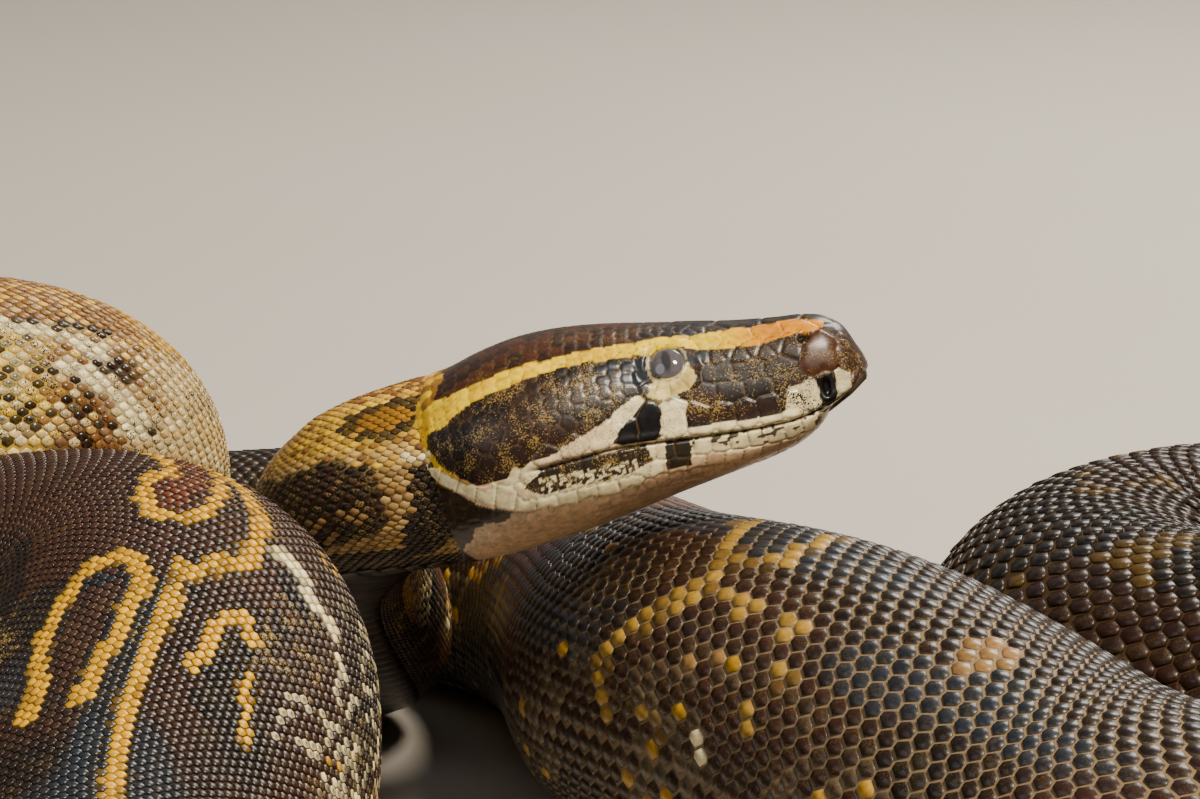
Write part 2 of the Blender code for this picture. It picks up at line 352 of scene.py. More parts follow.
# Lines drawn one by one: colour, half-width in mm, then points as (mm from the jaw, degrees from the back)
STROKES = (
    ("gold", 1.5, ((596, 16), (603, 10), (608, 6), (611, -2), (617, -6), (624, -4), (626, 4), (625, 9),
                   (620, 13))),
    ("gold", 1.5, ((624, 10), (614, 18), (604, 23), (594, 27))),
    ("gold", 1.9, ((690, -20), (681, -19), (671, -22), (661, -24), (653, -23), (644, -20), (639, -17),
                   (638, -12), (640, -6), (644, -3), (650, -1), (656, -3), (664, -2), (672, -4),
                   (686, -6))),
    ("gold", 1.7, ((641, 8), (650, 8), (661, 8), (671, 7), (682, 6), (700, 7), (722, 5))),
    ("gold", 1.4, ((645, 11), (640, 14), (636, 17), (642, 17))),
    ("gold", 1.9, ((606, 26), (616, 26), (622, 27), (629, 25), (635, 24), (638, 21))),
    ("gold", 1.5, ((671, 19), (662, 21), (655, 22), (652, 25), (653, 28), (657, 31))),
    ("gold", 1.0, ((666, 33), (672, 33), (678, 36), (686, 37))),
    ("cream", 1.5, ((629, 31), (630, 36), (632, 41))),
    ("cream", 1.7, ((636, 42), (637, 46))),
    ("cream", 1.7, ((638, 49), (640, 54))),
    ("cream", 0.9, ((644, 57), (648, 60))),
    ("cream", 1.8, ((303, 36), (298, 40), (291, 43))),
    ("cream", 2.4, ((289, 45), (288, 48))),
    ("cream", 1.9, ((292, 56), (288, 62), (284, 68), (281, 75), (280, 84))),
    ("amber", 2.9, ((2048, 27), (2047, 34), (2051, 44), (2057, 53), (2063, 62), (2065, 68), (2063, 75),
                    (2058, 83))),
    ("amber", 3.1, ((2041, -9), (2038, 0), (2038, 9), (2037, 16), (2041, 20))),
    ("amber", 3.1, ((2050, 22), (2056, 13), (2060, 5), (2068, -4))),
    ("amber", 2.9, ((2089, 28), (2090, 31))),
    ("amber", 2.8, ((2037, 36), (2031, 37))),
    ("amber", 2.9, ((2018, 38), (2016, 38))),
    ("amber", 2.9, ((2011, 50), (2009, 51))),
    ("amber", 2.8, ((2014, 65), (2012, 67))),
    ("amber", 2.6, ((2044, 78), (2042, 80))),
    ("cream", 1.6, ((2027, 80), (2025, 82))),
)
# Fields, as polygons of the same points
FIELDS = (
    ("brown", ((570, -40), (640, -40), (646, 6), (646, 48), (600, 44), (570, 30))),
    ("rust", ((596, 26), (597, 16), (604, 10), (609, 6), (612, -2), (617, -5), (624, -3), (625, 8),
              (614, 18))),
    ("brown", ((648, -18), (645, -8), (652, -5), (668, -8), (684, -10), (684, -16), (664, -20))),
    ("black", ((657, 25), (664, 22), (682, 22), (684, 32), (660, 32))),
    ("black", ((634, 32), (633, 38), (638, 42), (642, 50), (646, 47), (643, 40), (640, 34))),
    # painted sheen: a blue-grey field for the iridescent sheen of the dark scales here
    ("slate", ((646, -2), (700, -5), (735, -6), (735, 6), (700, 6), (646, 7))),
    ("tan", ((1985, 6), (1972, 7), (1970, 20), (1980, 24))),
    ("tan", ((2039, 59), (2033, 53), (2027, 54), (2035, 61))),
    ("dark", ((290, 50), (282, 48), (281, 58), (287, 60))),
    ("dark", ((281, 76), (277, 76), (277, 84), (281, 84))),
)
SPAN = 45                     # mm, half-width that turns degrees into mm for the lines and fields
NECK_OVAL = ((15, 42), (13, 32), (8, 27), (2, 27), (-2, 33), (-1, 43), (3, 55), (7, 58), (11, 54))
NECK_BLOTCH = ((23, 70), (15, 64), (9.6, 72), (8.6, 92), (9.5, 102), (12.5, 112), (19, 118), (34, 122),
               (60, 110), (64, 84), (44, 66), (30, 64))
# Partly a dark mark and partly painted shade: the black patch low on the neck's side, under the throat
NECK_PATCH_AND_SHADE = ((3.8, 77), (-4, 80), (-14, 92), (-18, 104), (-9, 112), (0, 124), (5, 136), (9, 128),
              (7.4, 113), (4.6, 95))
NECK_LINE = ((-7, 80), (-7, 75), (5, 68), (5, 71))


def zone(s_mm, stretch):
    """One within a stretch of the body, zero outside it, smooth where it fades."""
    fade_in, full, still_full, faded = stretch
    return ramp(s_mm, fade_in, full) * (1 - ramp(s_mm, still_full, faded))


def in_polygon(s_mm, t, corners):
    """Inside a polygon of (mm from the jaw, degrees), measured as lengths."""
    turned = [(a, radians(b) * SPAN) for a, b in corners]
    return inside(s_mm, np.radians(t) * SPAN, turned)


def chance(dice, salt):
    """Another repeatable number from 0 to 1 for each scale."""
    return lattice_random(np.floor(dice * 99991), salt, 5)


class Paint:
    """Colours of points, laid one over another, and specks: gold dust above zero, dark pepper below."""

    def __init__(self, ground, dice, fleck=0.0):
        self.colour = np.tile(INK[ground], (len(dice), 1))
        self.fleck = np.full(len(dice), fleck)
        self.dice = dice

    def over(self, name, share):
        """Lay a colour over the points by a share for each."""
        self.colour = mix(self.colour, name, share)

    def cover(self, name, where):
        """Hide what is under a colour."""
        self.colour = np.where(where[:, None], INK[name], self.colour)

    def dust(self, where, amount):
        """Set the specks of some points."""
        self.fleck = np.where(where, amount, self.fleck)

    def roll(self, salt):
        """One of each scale's random numbers."""
        return chance(self.dice, salt)


class BodyPaint(Paint):
    """Paint on points of the body, with the measures that the markings use."""

    def __init__(self, s, t, dice):
        super().__init__("dark", dice)
        self.s = s * 1000                                          # mm from the jaw
        self.t = t
        self.side = np.abs(t)
        self.arc = np.radians(t) * (LINE.radius(s) * 1000)         # mm round from the middle of the back
        self.jag = (dice - 0.5) * 2.2                              # makes borders step from scale to scale
        self.rear = ramp(self.s, 900, 1500)
        self.fore = zone(self.s, RAISED_BEND)
        self.flank = ramp(self.side, 42, 84) * (1 - ramp(self.side, 132, 150)) * (1 - 0.75 * self.rear)
        self.patch = two_octaves(self.s / 24, self.arc / 18, 21)   # clumps of the flanks' pale scales
        self.rim = np.zeros(len(s))                                # how pale a scale's edge is


def neck_markings(s_mm, t, dice):
    """A gold net round a brown oval and a dark blotch, on both sides of the neck, with painted shade low on
    its sides and under it.
    """
    side = np.abs(t)
    net = Paint("gold", dice)
    net.over("sand", 0.35)
    net.over("yellow", 0.4 * (net.roll(2) > 0.6) * (side > 20))
    net.over("sand", 0.8 * (net.roll(5) > 0.35) * ramp(side, 56, 64))
    net.over("tan", 0.65 * ramp(s_mm, 12, 30))
    net.over("rust", 0.30 * ramp(s_mm, 8, 26))
    net.over("rust", 0.8 * (net.roll(1) < 0.10 + 0.55 * ramp(side, 22, 12) + 0.2 * (side > 58)))
    wobble = 1.2 * (dice - 0.5)
    oval = in_polygon(s_mm + wobble, side + wobble, NECK_OVAL)
    heart = oval & (np.hypot((s_mm - 6.5) / 5.2, (side - 42) / 8.5) < 1)
    net.over("dark", 0.92 * oval)
    net.over("rust", 0.80 * heart)
    net.over("gold", 0.30 * heart)
    blotch = in_polygon(s_mm + wobble, side + wobble, NECK_BLOTCH)
    net.over("dark", 0.97 * blotch)
    net.over("brown", 0.75 * blotch * (net.roll(3) > 0.45) * (side < 100))
    net.over("tan", 0.75 * (blotch & (side > 92) & (net.roll(4) > 0.5)))
    bar = (side > 74) & (side < 137) & ~blotch & (s_mm < 24)
    net.over("tan", 0.85 * bar)
    net.over("sand", 0.45 * bar * (net.roll(9) > 0.5))
    patch = in_polygon(s_mm + wobble, side + wobble, NECK_PATCH_AND_SHADE)
    # partly dark mark, partly painted shade low on the neck's side
    net.over("black", 0.97 * patch)
    net.over("brown", 0.5 * patch * (net.roll(6) > 0.8))
    # painted shade: the neck's lower side and its belly are darkened
    net.over("dark", 0.95 * ((side > 124) & (s_mm > 7) | (side > 138)))
    net.over("cream", 0.95 * in_polygon(s_mm, side, NECK_LINE))
    net.over("dark", 0.85 * (ramp(s_mm + 3 * wobble, 30, 44) * (side < 62)))
    return net.colour


def paint_ground(p):
    """Dark, with brown clouds, and blue-grey clouds that are painted iridescent sheen."""
    p.over("brown", 0.65 * ramp(two_octaves(p.s / 40, p.arc / 30, 5), 0.35, 0.65))
    # painted sheen: blue-grey clouds on the back stand for the scales' iridescent sheen
    p.over("slate", 0.75 * ramp(two_octaves(p.s / 52 + 7, p.arc / 24, 8), 0.57, 0.68) * (p.side < 70))


def paint_saddles(p):
    """A gold line round reddish-brown fields, broken here and there and duller to the rear; the shaded coil
    is darkened with painted shade.
    """
    loud = (1 - ramp(p.side, 74, 92)) * (sum(zone(p.s, stretch) for stretch in DRAWN_BACKS) < 0.5)
    field = two_octaves(p.s / 46 + 3.3, p.arc / 27 + 9.1, 2) - 0.47 + 0.08 * ramp(np.abs(p.arc), 50, 70)
    p.over("rust", 0.6 * (field + 0.012 * p.jag > 0.03) * loud * (1 - 0.5 * p.rear))
    p.over("black", 0.7 * (field + 0.01 * p.jag < -0.036) * (field > -0.085) * loud)
    unbroken = noise(p.s / 17, p.arc / 17, 11) > 0.34 + 0.10 * p.rear
    p.over("gold", (0.92 - 0.62 * p.rear) * (np.abs(field + 0.010 * p.jag) < 0.034) * loud * unbroken)
    # painted shade: the coil that lies in shade is darkened towards black
    p.over("black", 0.72 * zone(p.s, SHADED_COIL))


def paint_flanks(p):
    """Scales edged and flecked with cream and gold, in clumps that thicken towards the belly."""
    calm = zone(p.s, CALM_FLANK)
    pale = p.roll(3) < (0.55 - 0.40 * calm) * p.flank * ramp(p.patch, 0.54, 0.66)
    p.over("gold", 0.70 * pale)
    p.over("cream", 0.8 * pale * (p.roll(8) < ramp(p.side, 50, 90) * 0.8) * (1 - p.rear))
    p.rim = 0.8 * p.flank * ramp(p.patch, 0.50, 0.62) * (p.roll(13) > 0.3 + 0.3 * calm)


def paint_raised_bend(p):
    """An orange-brown back with a broken dark edge, a speckled side, and a plain pale part in front."""
    plain = 1 - ramp(p.s + 3 * p.jag, 274, 284)
    top = p.fore * (1 - ramp(p.side + 3 * p.jag, 35, 40))
    p.over("sand", 0.92 * p.fore)
    p.over("gold", 0.70 * top * (p.roll(7) > 0.35))
    p.over("rust", 0.72 * top * (1 - plain) * (p.roll(6) > 0.25))
    boxes = (np.abs(p.side - 36) < 3.2) & (p.s % 6.4 > 1.6) & (p.s > 285)
    p.over("black", 0.93 * boxes * (p.fore > 0.5))
    speckled = p.fore * ramp(p.side + 2 * p.jag, 39, 42) * (1 - plain)
    p.over("gold", 0.30 * speckled)
    p.over("cream", 0.55 * speckled * (p.roll(16) > 0.35))
    red = ramp(p.s + 4 * p.jag, 301, 291)
    p.over("rust", 0.80 * speckled * red * (p.roll(9) < 0.68))
    p.over("yellow", 0.50 * speckled * (1 - red) * (p.roll(4) < 0.5))
    pepper = 0.06 + (0.45 - 0.3 * red) * ramp(p.patch, 0.50, 0.60)
    p.over("dark", 0.92 * speckled * (p.roll(1) < pepper))
    p.over("cream", 0.45 * p.fore * plain * (p.side > 40) * (p.roll(5) > 0.45))
    p.over("dark", 0.92 * p.fore * (p.side + 2 * p.jag > 96) * (p.roll(2) < 0.55))
    p.rim = np.maximum(p.rim * (1 - p.fore), 0.9 * speckled * (1 - red) * (p.roll(11) > 0.4))


def paint_lines(p):
    """The fields and lines that are drawn one by one, and the pale rims beside them."""
    y = np.radians(p.t) * SPAN
    for name, corners in FIELDS:
        p.over(name, 0.88 * in_polygon(p.s + 0.7 * p.jag, p.t + 0.7 * p.jag, corners))
    for name, half, points in STROKES:
        near = near_stroke(p.s, y, [(a, radians(b) * SPAN) for a, b in points])
        edge = (near > half) & (near < half + 2.6) & (p.side < 60)
        p.over("black", 0.45 * edge * (name == "gold") * (p.fore < 0.1))
        solid = 1 - 0.6 * (name == "amber") * (p.roll(21) < 0.25)
        p.over(name, 0.96 * solid * ramp(half + 0.7 - near - 0.35 * p.jag, 0, 1.1))
    pale_patch = (p.s > 636) & (p.s < 690) & (p.side > 44) & (p.side < 80)
    clumps = noise(p.s / 7, p.arc / 7, 14) > 0.50
    p.rim = np.maximum(0.6 * p.rim, 0.75 * pale_patch * clumps * (p.roll(15) > 0.6))


def paint_neck(p):
    """The neck's own markings, which end before the first coil."""
    neck = 1 - ramp(p.s + 4 * p.jag, 52, 78)
    p.colour = p.colour + (neck_markings(p.s, p.t, p.dice) - p.colour) * neck[:, None]
    p.rim = p.rim * (1 - neck)


def paint_belly(p):
    """Pale with dark clouds behind the neck; under the neck it keeps the neck's painted shade."""
    # painted shade: the belly stays dark under the neck and turns pale only behind it
    belly = ramp(p.side + 3 * p.jag, 140, 150) * ramp(p.s, 150, 230)
    p.over("belly", 0.92 * belly)
    p.over("dark", 0.8 * belly * (two_octaves(p.s / 22, p.arc / 26, 31) > 0.56))


BODY_LAYERS = (paint_ground, paint_saddles, paint_flanks, paint_raised_bend, paint_lines, paint_neck,
               paint_belly)


def body_markings(s, t, dice):
    """Colour, specks and pale rim at body points. dice is one random number for each scale."""
    p = BodyPaint(s, t, dice)
    for lay in BODY_LAYERS:
        lay(p)
    dust_patch = (p.s > 640) & (p.s < 664) & (p.side > 33) & (p.side < 52)
    fleck = clamp(0.10 + 0.45 * p.flank + 1.0 * dust_patch) - 1.6 * p.fore * (p.side > 38)
    return p.colour, fleck, p.rim


# ---------------------------------------------------------------- markings of the head

# The gold stripe's edges: mm from the middle, against mm behind the snout
STRIPE_INNER = smooth_through(((7, 4.6), (15, 4.4), (20, 5.3), (27, 6.9), (33, 9.0), (40, 10.9), (47, 12.8),
                               (53, 14.7), (60, 17.0), (67, 18.9), (73, 20.0), (80, 20.4), (87, 19.6),
                               (97, 16.0)))
STRIPE_OUTER = smooth_through(((7, 6.2), (13, 8.6), (17, 9.6), (20, 10.6), (27, 12.2), (34, 13.4),
                               (42, 14.4), (47, 16.0), (54, 18.2), (61, 20.2), (67, 21.9), (74, 23.5),
                               (81, 24.2), (87, 23.7), (92, 22.8), (97, 21.0)))
# Marks on the side of the head: polygons of (mm behind the snout, mm above its axis)
BAR = ((75.4, -3.2), (69.4, -2.6), (63.2, -0.5), (58.4, 1.5), (53.6, 3.6), (50.2, 5.2), (47.6, 4.4),
       (49.8, 3.0), (56.8, -2.9), (58.2, -5.6), (66, -6.0), (76, -5.0))
WEDGE = ((56.8, -3.1), (50.2, 3.2), (45.2, 2.7), (46.7, -5.9), (52.6, -5.2), (57.2, -4.6))
POST = ((47.8, 5.2), (42.6, 5.0), (39.8, 1.4), (40.9, -6.6), (46.7, -6.1), (45.2, 2.6))
CRESCENT = ((46.8, 6.6), (47.4, 4.2), (45.4, 2.8), (42.2, 3.4), (38.6, 4.0), (36.6, 5.8), (37.4, 9.6),
            (39.4, 9.6))
# painted sheen: blue-grey spots on the shields near the eye
SHEEN_SPOTS = (((52.0, 13.0), (46.2, 12.2), (45.4, 7.9), (48.4, 5.6), (52.6, 8.5)),
          ((59, 13.6), (52.4, 13), (54.4, 10.8)),
          ((38.6, 11.6), (31.4, 9.8), (35.4, 8.2), (38.6, 9.2)))
JAW_SQUARE = ((46.0, -6.0), (40.9, -6.4), (41.5, -12.5), (47.2, -12.2))
JAW_BAND = ((77.4, -4.6), (66, -5.0), (50.2, -5.6), (49.4, -9.9), (54.2, -11.3), (59.2, -11.9),
            (65.4, -10.4), (73.4, -11.4), (77.6, -8.8))
MOUTH_WHITE = ((86, -7.2), (81.4, -6.6), (79, -3.9), (74.6, -3.4), (73.4, -6.2), (77.6, -9), (83.6, -9))
LIP_PATCH = ((17.6, -0.6), (11.2, -1.0), (11.5, -8), (19.2, -9), (19.2, -6.2))
PIT_MARK = ((11.2, -1.0), (6.9, -0.2), (7.3, -4.3), (9.0, -7.2), (11.4, -7.4))
PIT_EDGE = ((7.0, 0.6), (4.2, -1.2), (4.6, -5.6), (9.0, -7.0), (7.2, -4.2))
NASAL = ((13.2, 6.8), (11.0, 9.6), (7.0, 9.4), (4.6, 6.0), (5.2, 2.3), (9.0, -0.4), (12.8, 0.2),
         (14.6, 3.6))
OVAL_END = ((96.4, 8.6), (97.6, 4.7), (95.8, 0.4), (91.0, -3.9), (85.8, -6.6), (81, -6.8), (79, -3.9),
            (70, -2.0), (60, 3), (60, 20), (90, 20))
# Partly a dark neck mark, partly painted shade under the throat's rear
NECK_MARK_AND_SHADE = ((103, -0.6), (101, -2.6), (95, -5.2), (89, -9.4), (80, -13.6), (84, -14.8), (90.5, -15.2),
             (92, -18), (95.5, -20.5), (93, -25), (96, -34), (103, -34))
# Lines of the same points: the white line over the throat, and the crescent's dark lower edge
WHITE_LINE = ((101, 1.6), (95.8, -2.9), (90.8, -6.4), (85.4, -9.2), (79, -11.8), (72.6, -12.7), (66, -12.6),
              (58.8, -12.9), (54, -12.6), (49.4, -11.4))
CRESCENT_EDGE = ((50.6, 6.2), (47.6, 4.3), (44.4, 2.7), (41.0, 2.3), (39.4, 3.3))
# The cheek's gold dust, the thin dust of the crown, and pepper on pale shields
CHEEK_DUST, CROWN_DUST, PEPPER = 0.72, 0.20, -1.0


def surface_height(behind, y):
    """Height of the crown's outline at a distance from the middle, mm."""
    lips = mouth(behind)
    rise = (1 - clamp(np.abs(y) / half_width(behind)) ** CROWN_POWER) ** (1 / CROWN_POWER)
    return lips + (crown(behind) - lips) * rise


class HeadPaint(Paint):
    """Paint on points of the head, mm in its frame, with the measures that the markings use."""

    def __init__(self, behind, y, z, dice):
        super().__init__("dark", dice, CROWN_DUST)
        self.behind, self.y, self.z = behind, y, z
        side = np.abs(y)
        self.lips = mouth(behind)
        self.upper = z > self.lips
        self.jag = (dice - 0.5) * 0.7
        self.h = z + self.jag
        # across the crown, a place is measured by both y and z: the steep sides change z, the flat top y
        inner_z, outer_z = (surface_height(behind, edge(behind)) for edge in (STRIPE_INNER, STRIPE_OUTER))
        self.past_inner = 0.7 * (side - STRIPE_INNER(behind)) - 0.7 * (z - inner_z) + 0.8 * self.jag > 0
        self.past_outer = 0.6 * (side - STRIPE_OUTER(behind)) - 0.8 * (z - outer_z) + 0.8 * self.jag > 0


def paint_crown(p):
    """Dark with blue-grey painted sheen in front, reddish-brown behind."""
    # painted sheen: blue-grey clouds on the crown's glossy front
    p.over("slate", 0.55 * (noise(p.behind / 5, p.y / 4, 3) > 0.5) * (p.behind < 48))
    p.over("rust", 0.40 * ramp(p.behind, 40, 54) * (p.roll(1) > 0.5))
    p.over("brown", 0.40 * ramp(p.behind, 34, 50))


def paint_cheek(p):
    """Dark and brown with gold dust, and painted blue-grey sheen on shields near the eye."""
    cheek = p.past_outer & p.upper
    p.cover("dark", cheek)
    p.over("brown", 0.35 * cheek * (noise(p.behind / 9, p.z / 5, 6) > 0.42))
    p.dust(cheek, CHEEK_DUST)
    # painted sheen: the spots near the eye are laid over in blue-grey
    for corners in SHEEN_SPOTS:
        spot = inside(p.behind, p.h, corners)
        p.over("slate", 0.80 * spot)
        p.dust(spot, 0.0)


def paint_snout(p):
    """The rostral, the coppery nasal shield, and pale and dark lips."""
    p.over("brown", 0.45 * (p.behind < 5) * p.upper)
    nasal = inside(p.behind, p.z, NASAL)
    p.over("copper", 0.92 * nasal)
    p.dust(nasal, 0.4)
    rim = p.upper & (p.z < p.lips + 2.3 + 1.2 * p.jag) & (p.behind > 16.5) & (p.behind < 41.5)
    p.over("cream", 0.95 * rim)
    patch = inside(p.behind, p.h, LIP_PATCH) & p.upper
    p.over("cream", 0.85 * patch)
    p.over("cream", 0.85 * (inside(p.behind, p.z, PIT_EDGE) & p.upper))
    pit = inside(p.behind, p.z, PIT_MARK) & p.upper
    p.over("black", 0.97 * pit)
    p.dust(patch, PEPPER)
    p.dust(rim | pit, 0.0)


def paint_under_eye(p):
    """The black wedge, the pale bar behind it, the pale post before it, and the yellow crescent."""
    wedge = inside(p.behind, p.z, WEDGE) & p.upper
    p.over("black", 0.97 * wedge)
    bar = inside(p.behind, p.z + 0.5 * p.jag, BAR) & p.upper
    bar |= p.upper & (p.behind > 46) & (p.behind < 74) & (p.z < p.lips + 0.8)
    post = inside(p.behind, p.z, POST) & p.upper
    crescent = inside(p.behind, p.z, CRESCENT)
    p.over("cream", 0.95 * (bar | post))
    p.over("throat", 0.55 * (bar & (p.behind > 56)))
    p.over("yellow", 0.62 * crescent)
    p.over("cream", 0.40 * crescent)
    p.dust(bar | post, -0.45)
    p.dust(wedge | crescent, 0.0)
    p.over("dark", 0.75 * (near_stroke(p.behind, p.z, CRESCENT_EDGE) < 0.3))
    ring = np.abs(np.hypot(p.behind - EYE_BEHIND, p.z - 10.2) - 4.3) < 0.35
    p.over("cream", 0.5 * ring)


def paint_stripe(p):
    """Gold from the nostril over the eye to the neck: orange at the snout, yellow behind."""
    stripe = p.past_inner & ~p.past_outer & (p.behind > 7.5) & (p.behind < 98) & p.upper
    p.cover("yellow", stripe)
    p.over("orange", stripe * 0.92 * ramp(p.behind, 34, 20))
    p.over("gold", 0.45 * stripe * (p.roll(3) > 0.5) * ramp(p.behind, 44, 56))
    p.dust(stripe, 0.0)


def paint_nape(p):
    """Behind the cheek's round end, the neck's net starts."""
    nape = p.past_outer & (p.behind > 74) | (p.behind > 92.5 + 2 * p.jag)
    net = p.upper & ~inside(p.behind + p.jag, p.h, OVAL_END) & nape
    ink = Paint("gold", p.dice)
    ink.over("yellow", 0.5 * (p.roll(2) > 0.5))
    ink.over("rust", 0.75 * (p.roll(1) < 0.30))
    p.colour = np.where(net[:, None], ink.colour, p.colour)
    p.dust(net, 0.2)


def paint_jaw(p):
    """The lower jaw: dotted lips, a dark band with pale flecks, a white line, and black at the neck's start,
    partly mark and partly painted shade.
    """
    lower = ~p.upper
    p.cover("throat", lower)
    p.dust(lower, 0.0)
    row = p.lips - p.z
    lip_row = lower & (row < 4.4 + 1.5 * p.jag) & (p.behind < 50)
    p.over("cream", 0.80 * lip_row)
    dotted = lip_row & (p.behind < 41) & (noise(p.behind * 1.1, p.z * 1.4, 3) > 0.54 + 0.09 * row)
    p.over("dark", 0.92 * dotted)
    p.over("brown", 0.80 * (lower & (p.behind < 10) & (row < 3.4 + 1.5 * p.jag)))
    band = inside(p.behind, p.h, JAW_BAND) & lower
    p.over("black", 0.97 * (band | inside(p.behind, p.z, JAW_SQUARE) & lower))
    light = band & (noise(p.behind * 1.9, p.z * 2.4, 9) > 0.58) & (p.behind > 53) & (p.behind < 74)
    light &= p.z < np.interp(p.behind, (52, 74), (-8.0, -7.2))
    p.over("cream", 0.85 * light)
    p.dust(band, 0.8)
    p.dust(light, PEPPER)
    p.over("cream", 0.96 * (inside(p.behind, p.h, MOUTH_WHITE)))
    white = near_stroke(p.behind, p.z, WHITE_LINE) + 0.4 * p.jag < 1.05 + 0.75 * ramp(p.behind, 88, 72)
    p.over("cream", 0.97 * white)
    above_line = p.z > np.interp(p.behind, (50, 62, 76), (-11.5, -13.2, -12.2))
    p.over("cream", 0.5 * (lower & ~white & above_line & (p.behind > 50) & ~band & (p.behind < 84)))
    # partly dark mark, partly painted shade at the throat's rear
    neck_mark_and_shade = inside(p.behind, p.h, NECK_MARK_AND_SHADE) & ~white
    p.over("black", 0.95 * neck_mark_and_shade)
    p.dust(white | neck_mark_and_shade, 0.0)


HEAD_LAYERS = (paint_crown, paint_cheek, paint_snout, paint_under_eye, paint_stripe, paint_nape, paint_jaw)


def head_markings(behind, y, z, dice):
    """Colour and specks at head-frame points, mm."""
    p = HeadPaint(behind, y, z, dice)
    for lay in HEAD_LAYERS:
        lay(p)
    return p.colour, p.fleck


# ---------------------------------------------------------------- meshes

PATCH_HALF = 0.0015           # half the width of one scale's patch on the map
WELD = 2e-6                   # metres


def finished(name, mesh):
    """A shown object in the row frame that rides on the snake's one body."""
    mesh.shade_smooth()
    piece = bpy.data.objects.new(name, mesh)
    bpy.context.scene.collection.objects.link(piece)
    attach(piece, BODY)
    return piece


def set_values(mesh, name, values):
    """Store one number, or one colour, for each point."""
    values = np.asarray(values, np.float32)
    if values.ndim == 1:
        layer = mesh.attributes.new(name, "FLOAT", "POINT")
        layer.data.foreach_set("value", values)
    else:
        layer = mesh.attributes.new(name, "FLOAT_COLOR", "POINT")
        alpha = np.ones((len(values), 1), np.float32)
        layer.data.foreach_set("color", np.hstack([values, alpha]).ravel())


def on_map(along, around):
    """A place on the unwrapped skin, from shares of its length and of its girth, with a margin."""
    return np.stack([0.02 + 0.96 * along, 0.02 + 0.96 * around], -1)


def set_map(mesh, places):
    """Store the unwrap, one place for each face corner."""
    layer = mesh.uv_layers.new(name="OFBake", do_init=False)
    layer.uv.foreach_set("vector", places.astype(np.float32).ravel())


def wrapped_grid(name, rows, columns, place):
    """A closed skin from a flat grid, welded at seam and poles. place(i, j) gives points, values and map."""
    build = bmesh.new()
    bmesh.ops.create_grid(build, x_segments=rows, y_segments=columns, size=1.0)
    mesh = bpy.data.meshes.new(name)
    build.to_mesh(mesh)
    build.free()
    flat = np.zeros(len(mesh.vertices) * 3, np.float32)
    mesh.vertices.foreach_get("co", flat)
    flat = flat.reshape(-1, 3)
    i = np.rint((flat[:, 0] + 1) / 2 * rows).astype(int)
    j = np.rint((flat[:, 1] + 1) / 2 * columns).astype(int)
    points, values, around = place(i, j)
    mesh.vertices.foreach_set("co", points.astype(np.float32).ravel())
    for key, value in values.items():
        set_values(mesh, key, value)
    corners = np.zeros(len(mesh.loops), np.int32)
    mesh.loops.foreach_get("vertex_index", corners)
    set_map(mesh, around[corners])
    build = bmesh.new()
    build.from_mesh(mesh)
    bmesh.ops.remove_doubles(build, verts=build.verts, dist=WELD)
    bmesh.ops.recalc_face_normals(build, faces=build.faces)
    build.to_mesh(mesh)
    build.free()
    return mesh


def raise_copy(build):
    """Extrude all faces straight up by 1, and return the new points."""
    extruded = bmesh.ops.extrude_face_region(build, geom=list(build.faces))["geom"]
    raised = [g for g in extruded if isinstance(g, bmesh.types.BMVert)]
    bmesh.ops.translate(build, verts=raised, vec=(0, 0, 1))
    return raised


def as_template(build):
    """Points and triangles of a finished shape, for many copies."""
    bmesh.ops.recalc_face_normals(build, faces=build.faces)
    bmesh.ops.triangulate(build, faces=build.faces)
    build.verts.index_update()
    points = np.array([v.co for v in build.verts])
    faces = np.array([[v.index for v in f.verts] for f in build.faces])
    build.free()
    return points, faces


def scale_template():
    """One scale over a cell of length and width 1: a six-sided shield with a domed top, closed below."""
    build = bmesh.new()
    ring = bmesh.ops.create_circle(build, cap_ends=True, segments=len(SCALE_OUTLINE), radius=1.0)["verts"]
    for vert, (x, y) in zip(ring, SCALE_OUTLINE):
        vert.co = (x, y, 0)
    raised = raise_copy(build)
    bmesh.ops.scale(build, verts=raised, vec=(SCALE_TOP, SCALE_TOP, 1))
    upper = [f for f in build.faces if all(v in raised for v in f.verts)]
    for vert in bmesh.ops.poke(build, faces=upper)["verts"]:
        vert.co.z += SCALE_DOME
    return as_template(build)


def joined(name, points, faces, values, places):
    """Many copies of one closed shape as one mesh: points (n, k, 3), and one row of values for each copy."""
    count, each = points.shape[:2]
    mesh = bpy.data.meshes.new(name)
    mesh.vertices.add(count * each)
    mesh.vertices.foreach_set("co", points.astype(np.float32).ravel())
    corners = (faces[None] + (np.arange(count) * each)[:, None, None]).astype(np.int32).ravel()
    mesh.loops.add(len(corners))
    mesh.loops.foreach_set("vertex_index", corners)
    mesh.polygons.add(count * len(faces))
    mesh.polygons.foreach_set("loop_start", np.arange(0, len(corners), 3, dtype=np.int32))
    mesh.update(calc_edges=True)
    for key, value in values.items():
        set_values(mesh, key, value.reshape(-1, 3) if value.ndim == 3 else np.repeat(value, each, axis=0))
    shape = points[:, :, :2] - points[:, :1, :2]
    span = np.abs(shape).max(axis=(1, 2), keepdims=True) + 1e-9
    patch = places[:, None] + shape / span * PATCH_HALF
    set_map(mesh, patch.reshape(-1, 2)[corners])
    return mesh


# ---------------------------------------------------------------- materials

def add(tree, kind, settings=None, inputs=None):
    """Add a node with its settings, and its inputs as values or links."""
    node = tree.nodes.new("ShaderNode" + kind)
    for key, value in (settings or {}).items():
        setattr(node, key, value)
    for key, value in (inputs or {}).items():
        if isinstance(value, bpy.types.NodeSocket):
            tree.links.new(value, node.inputs[key])
        else:
            node.inputs[key].default_value = value
    return node


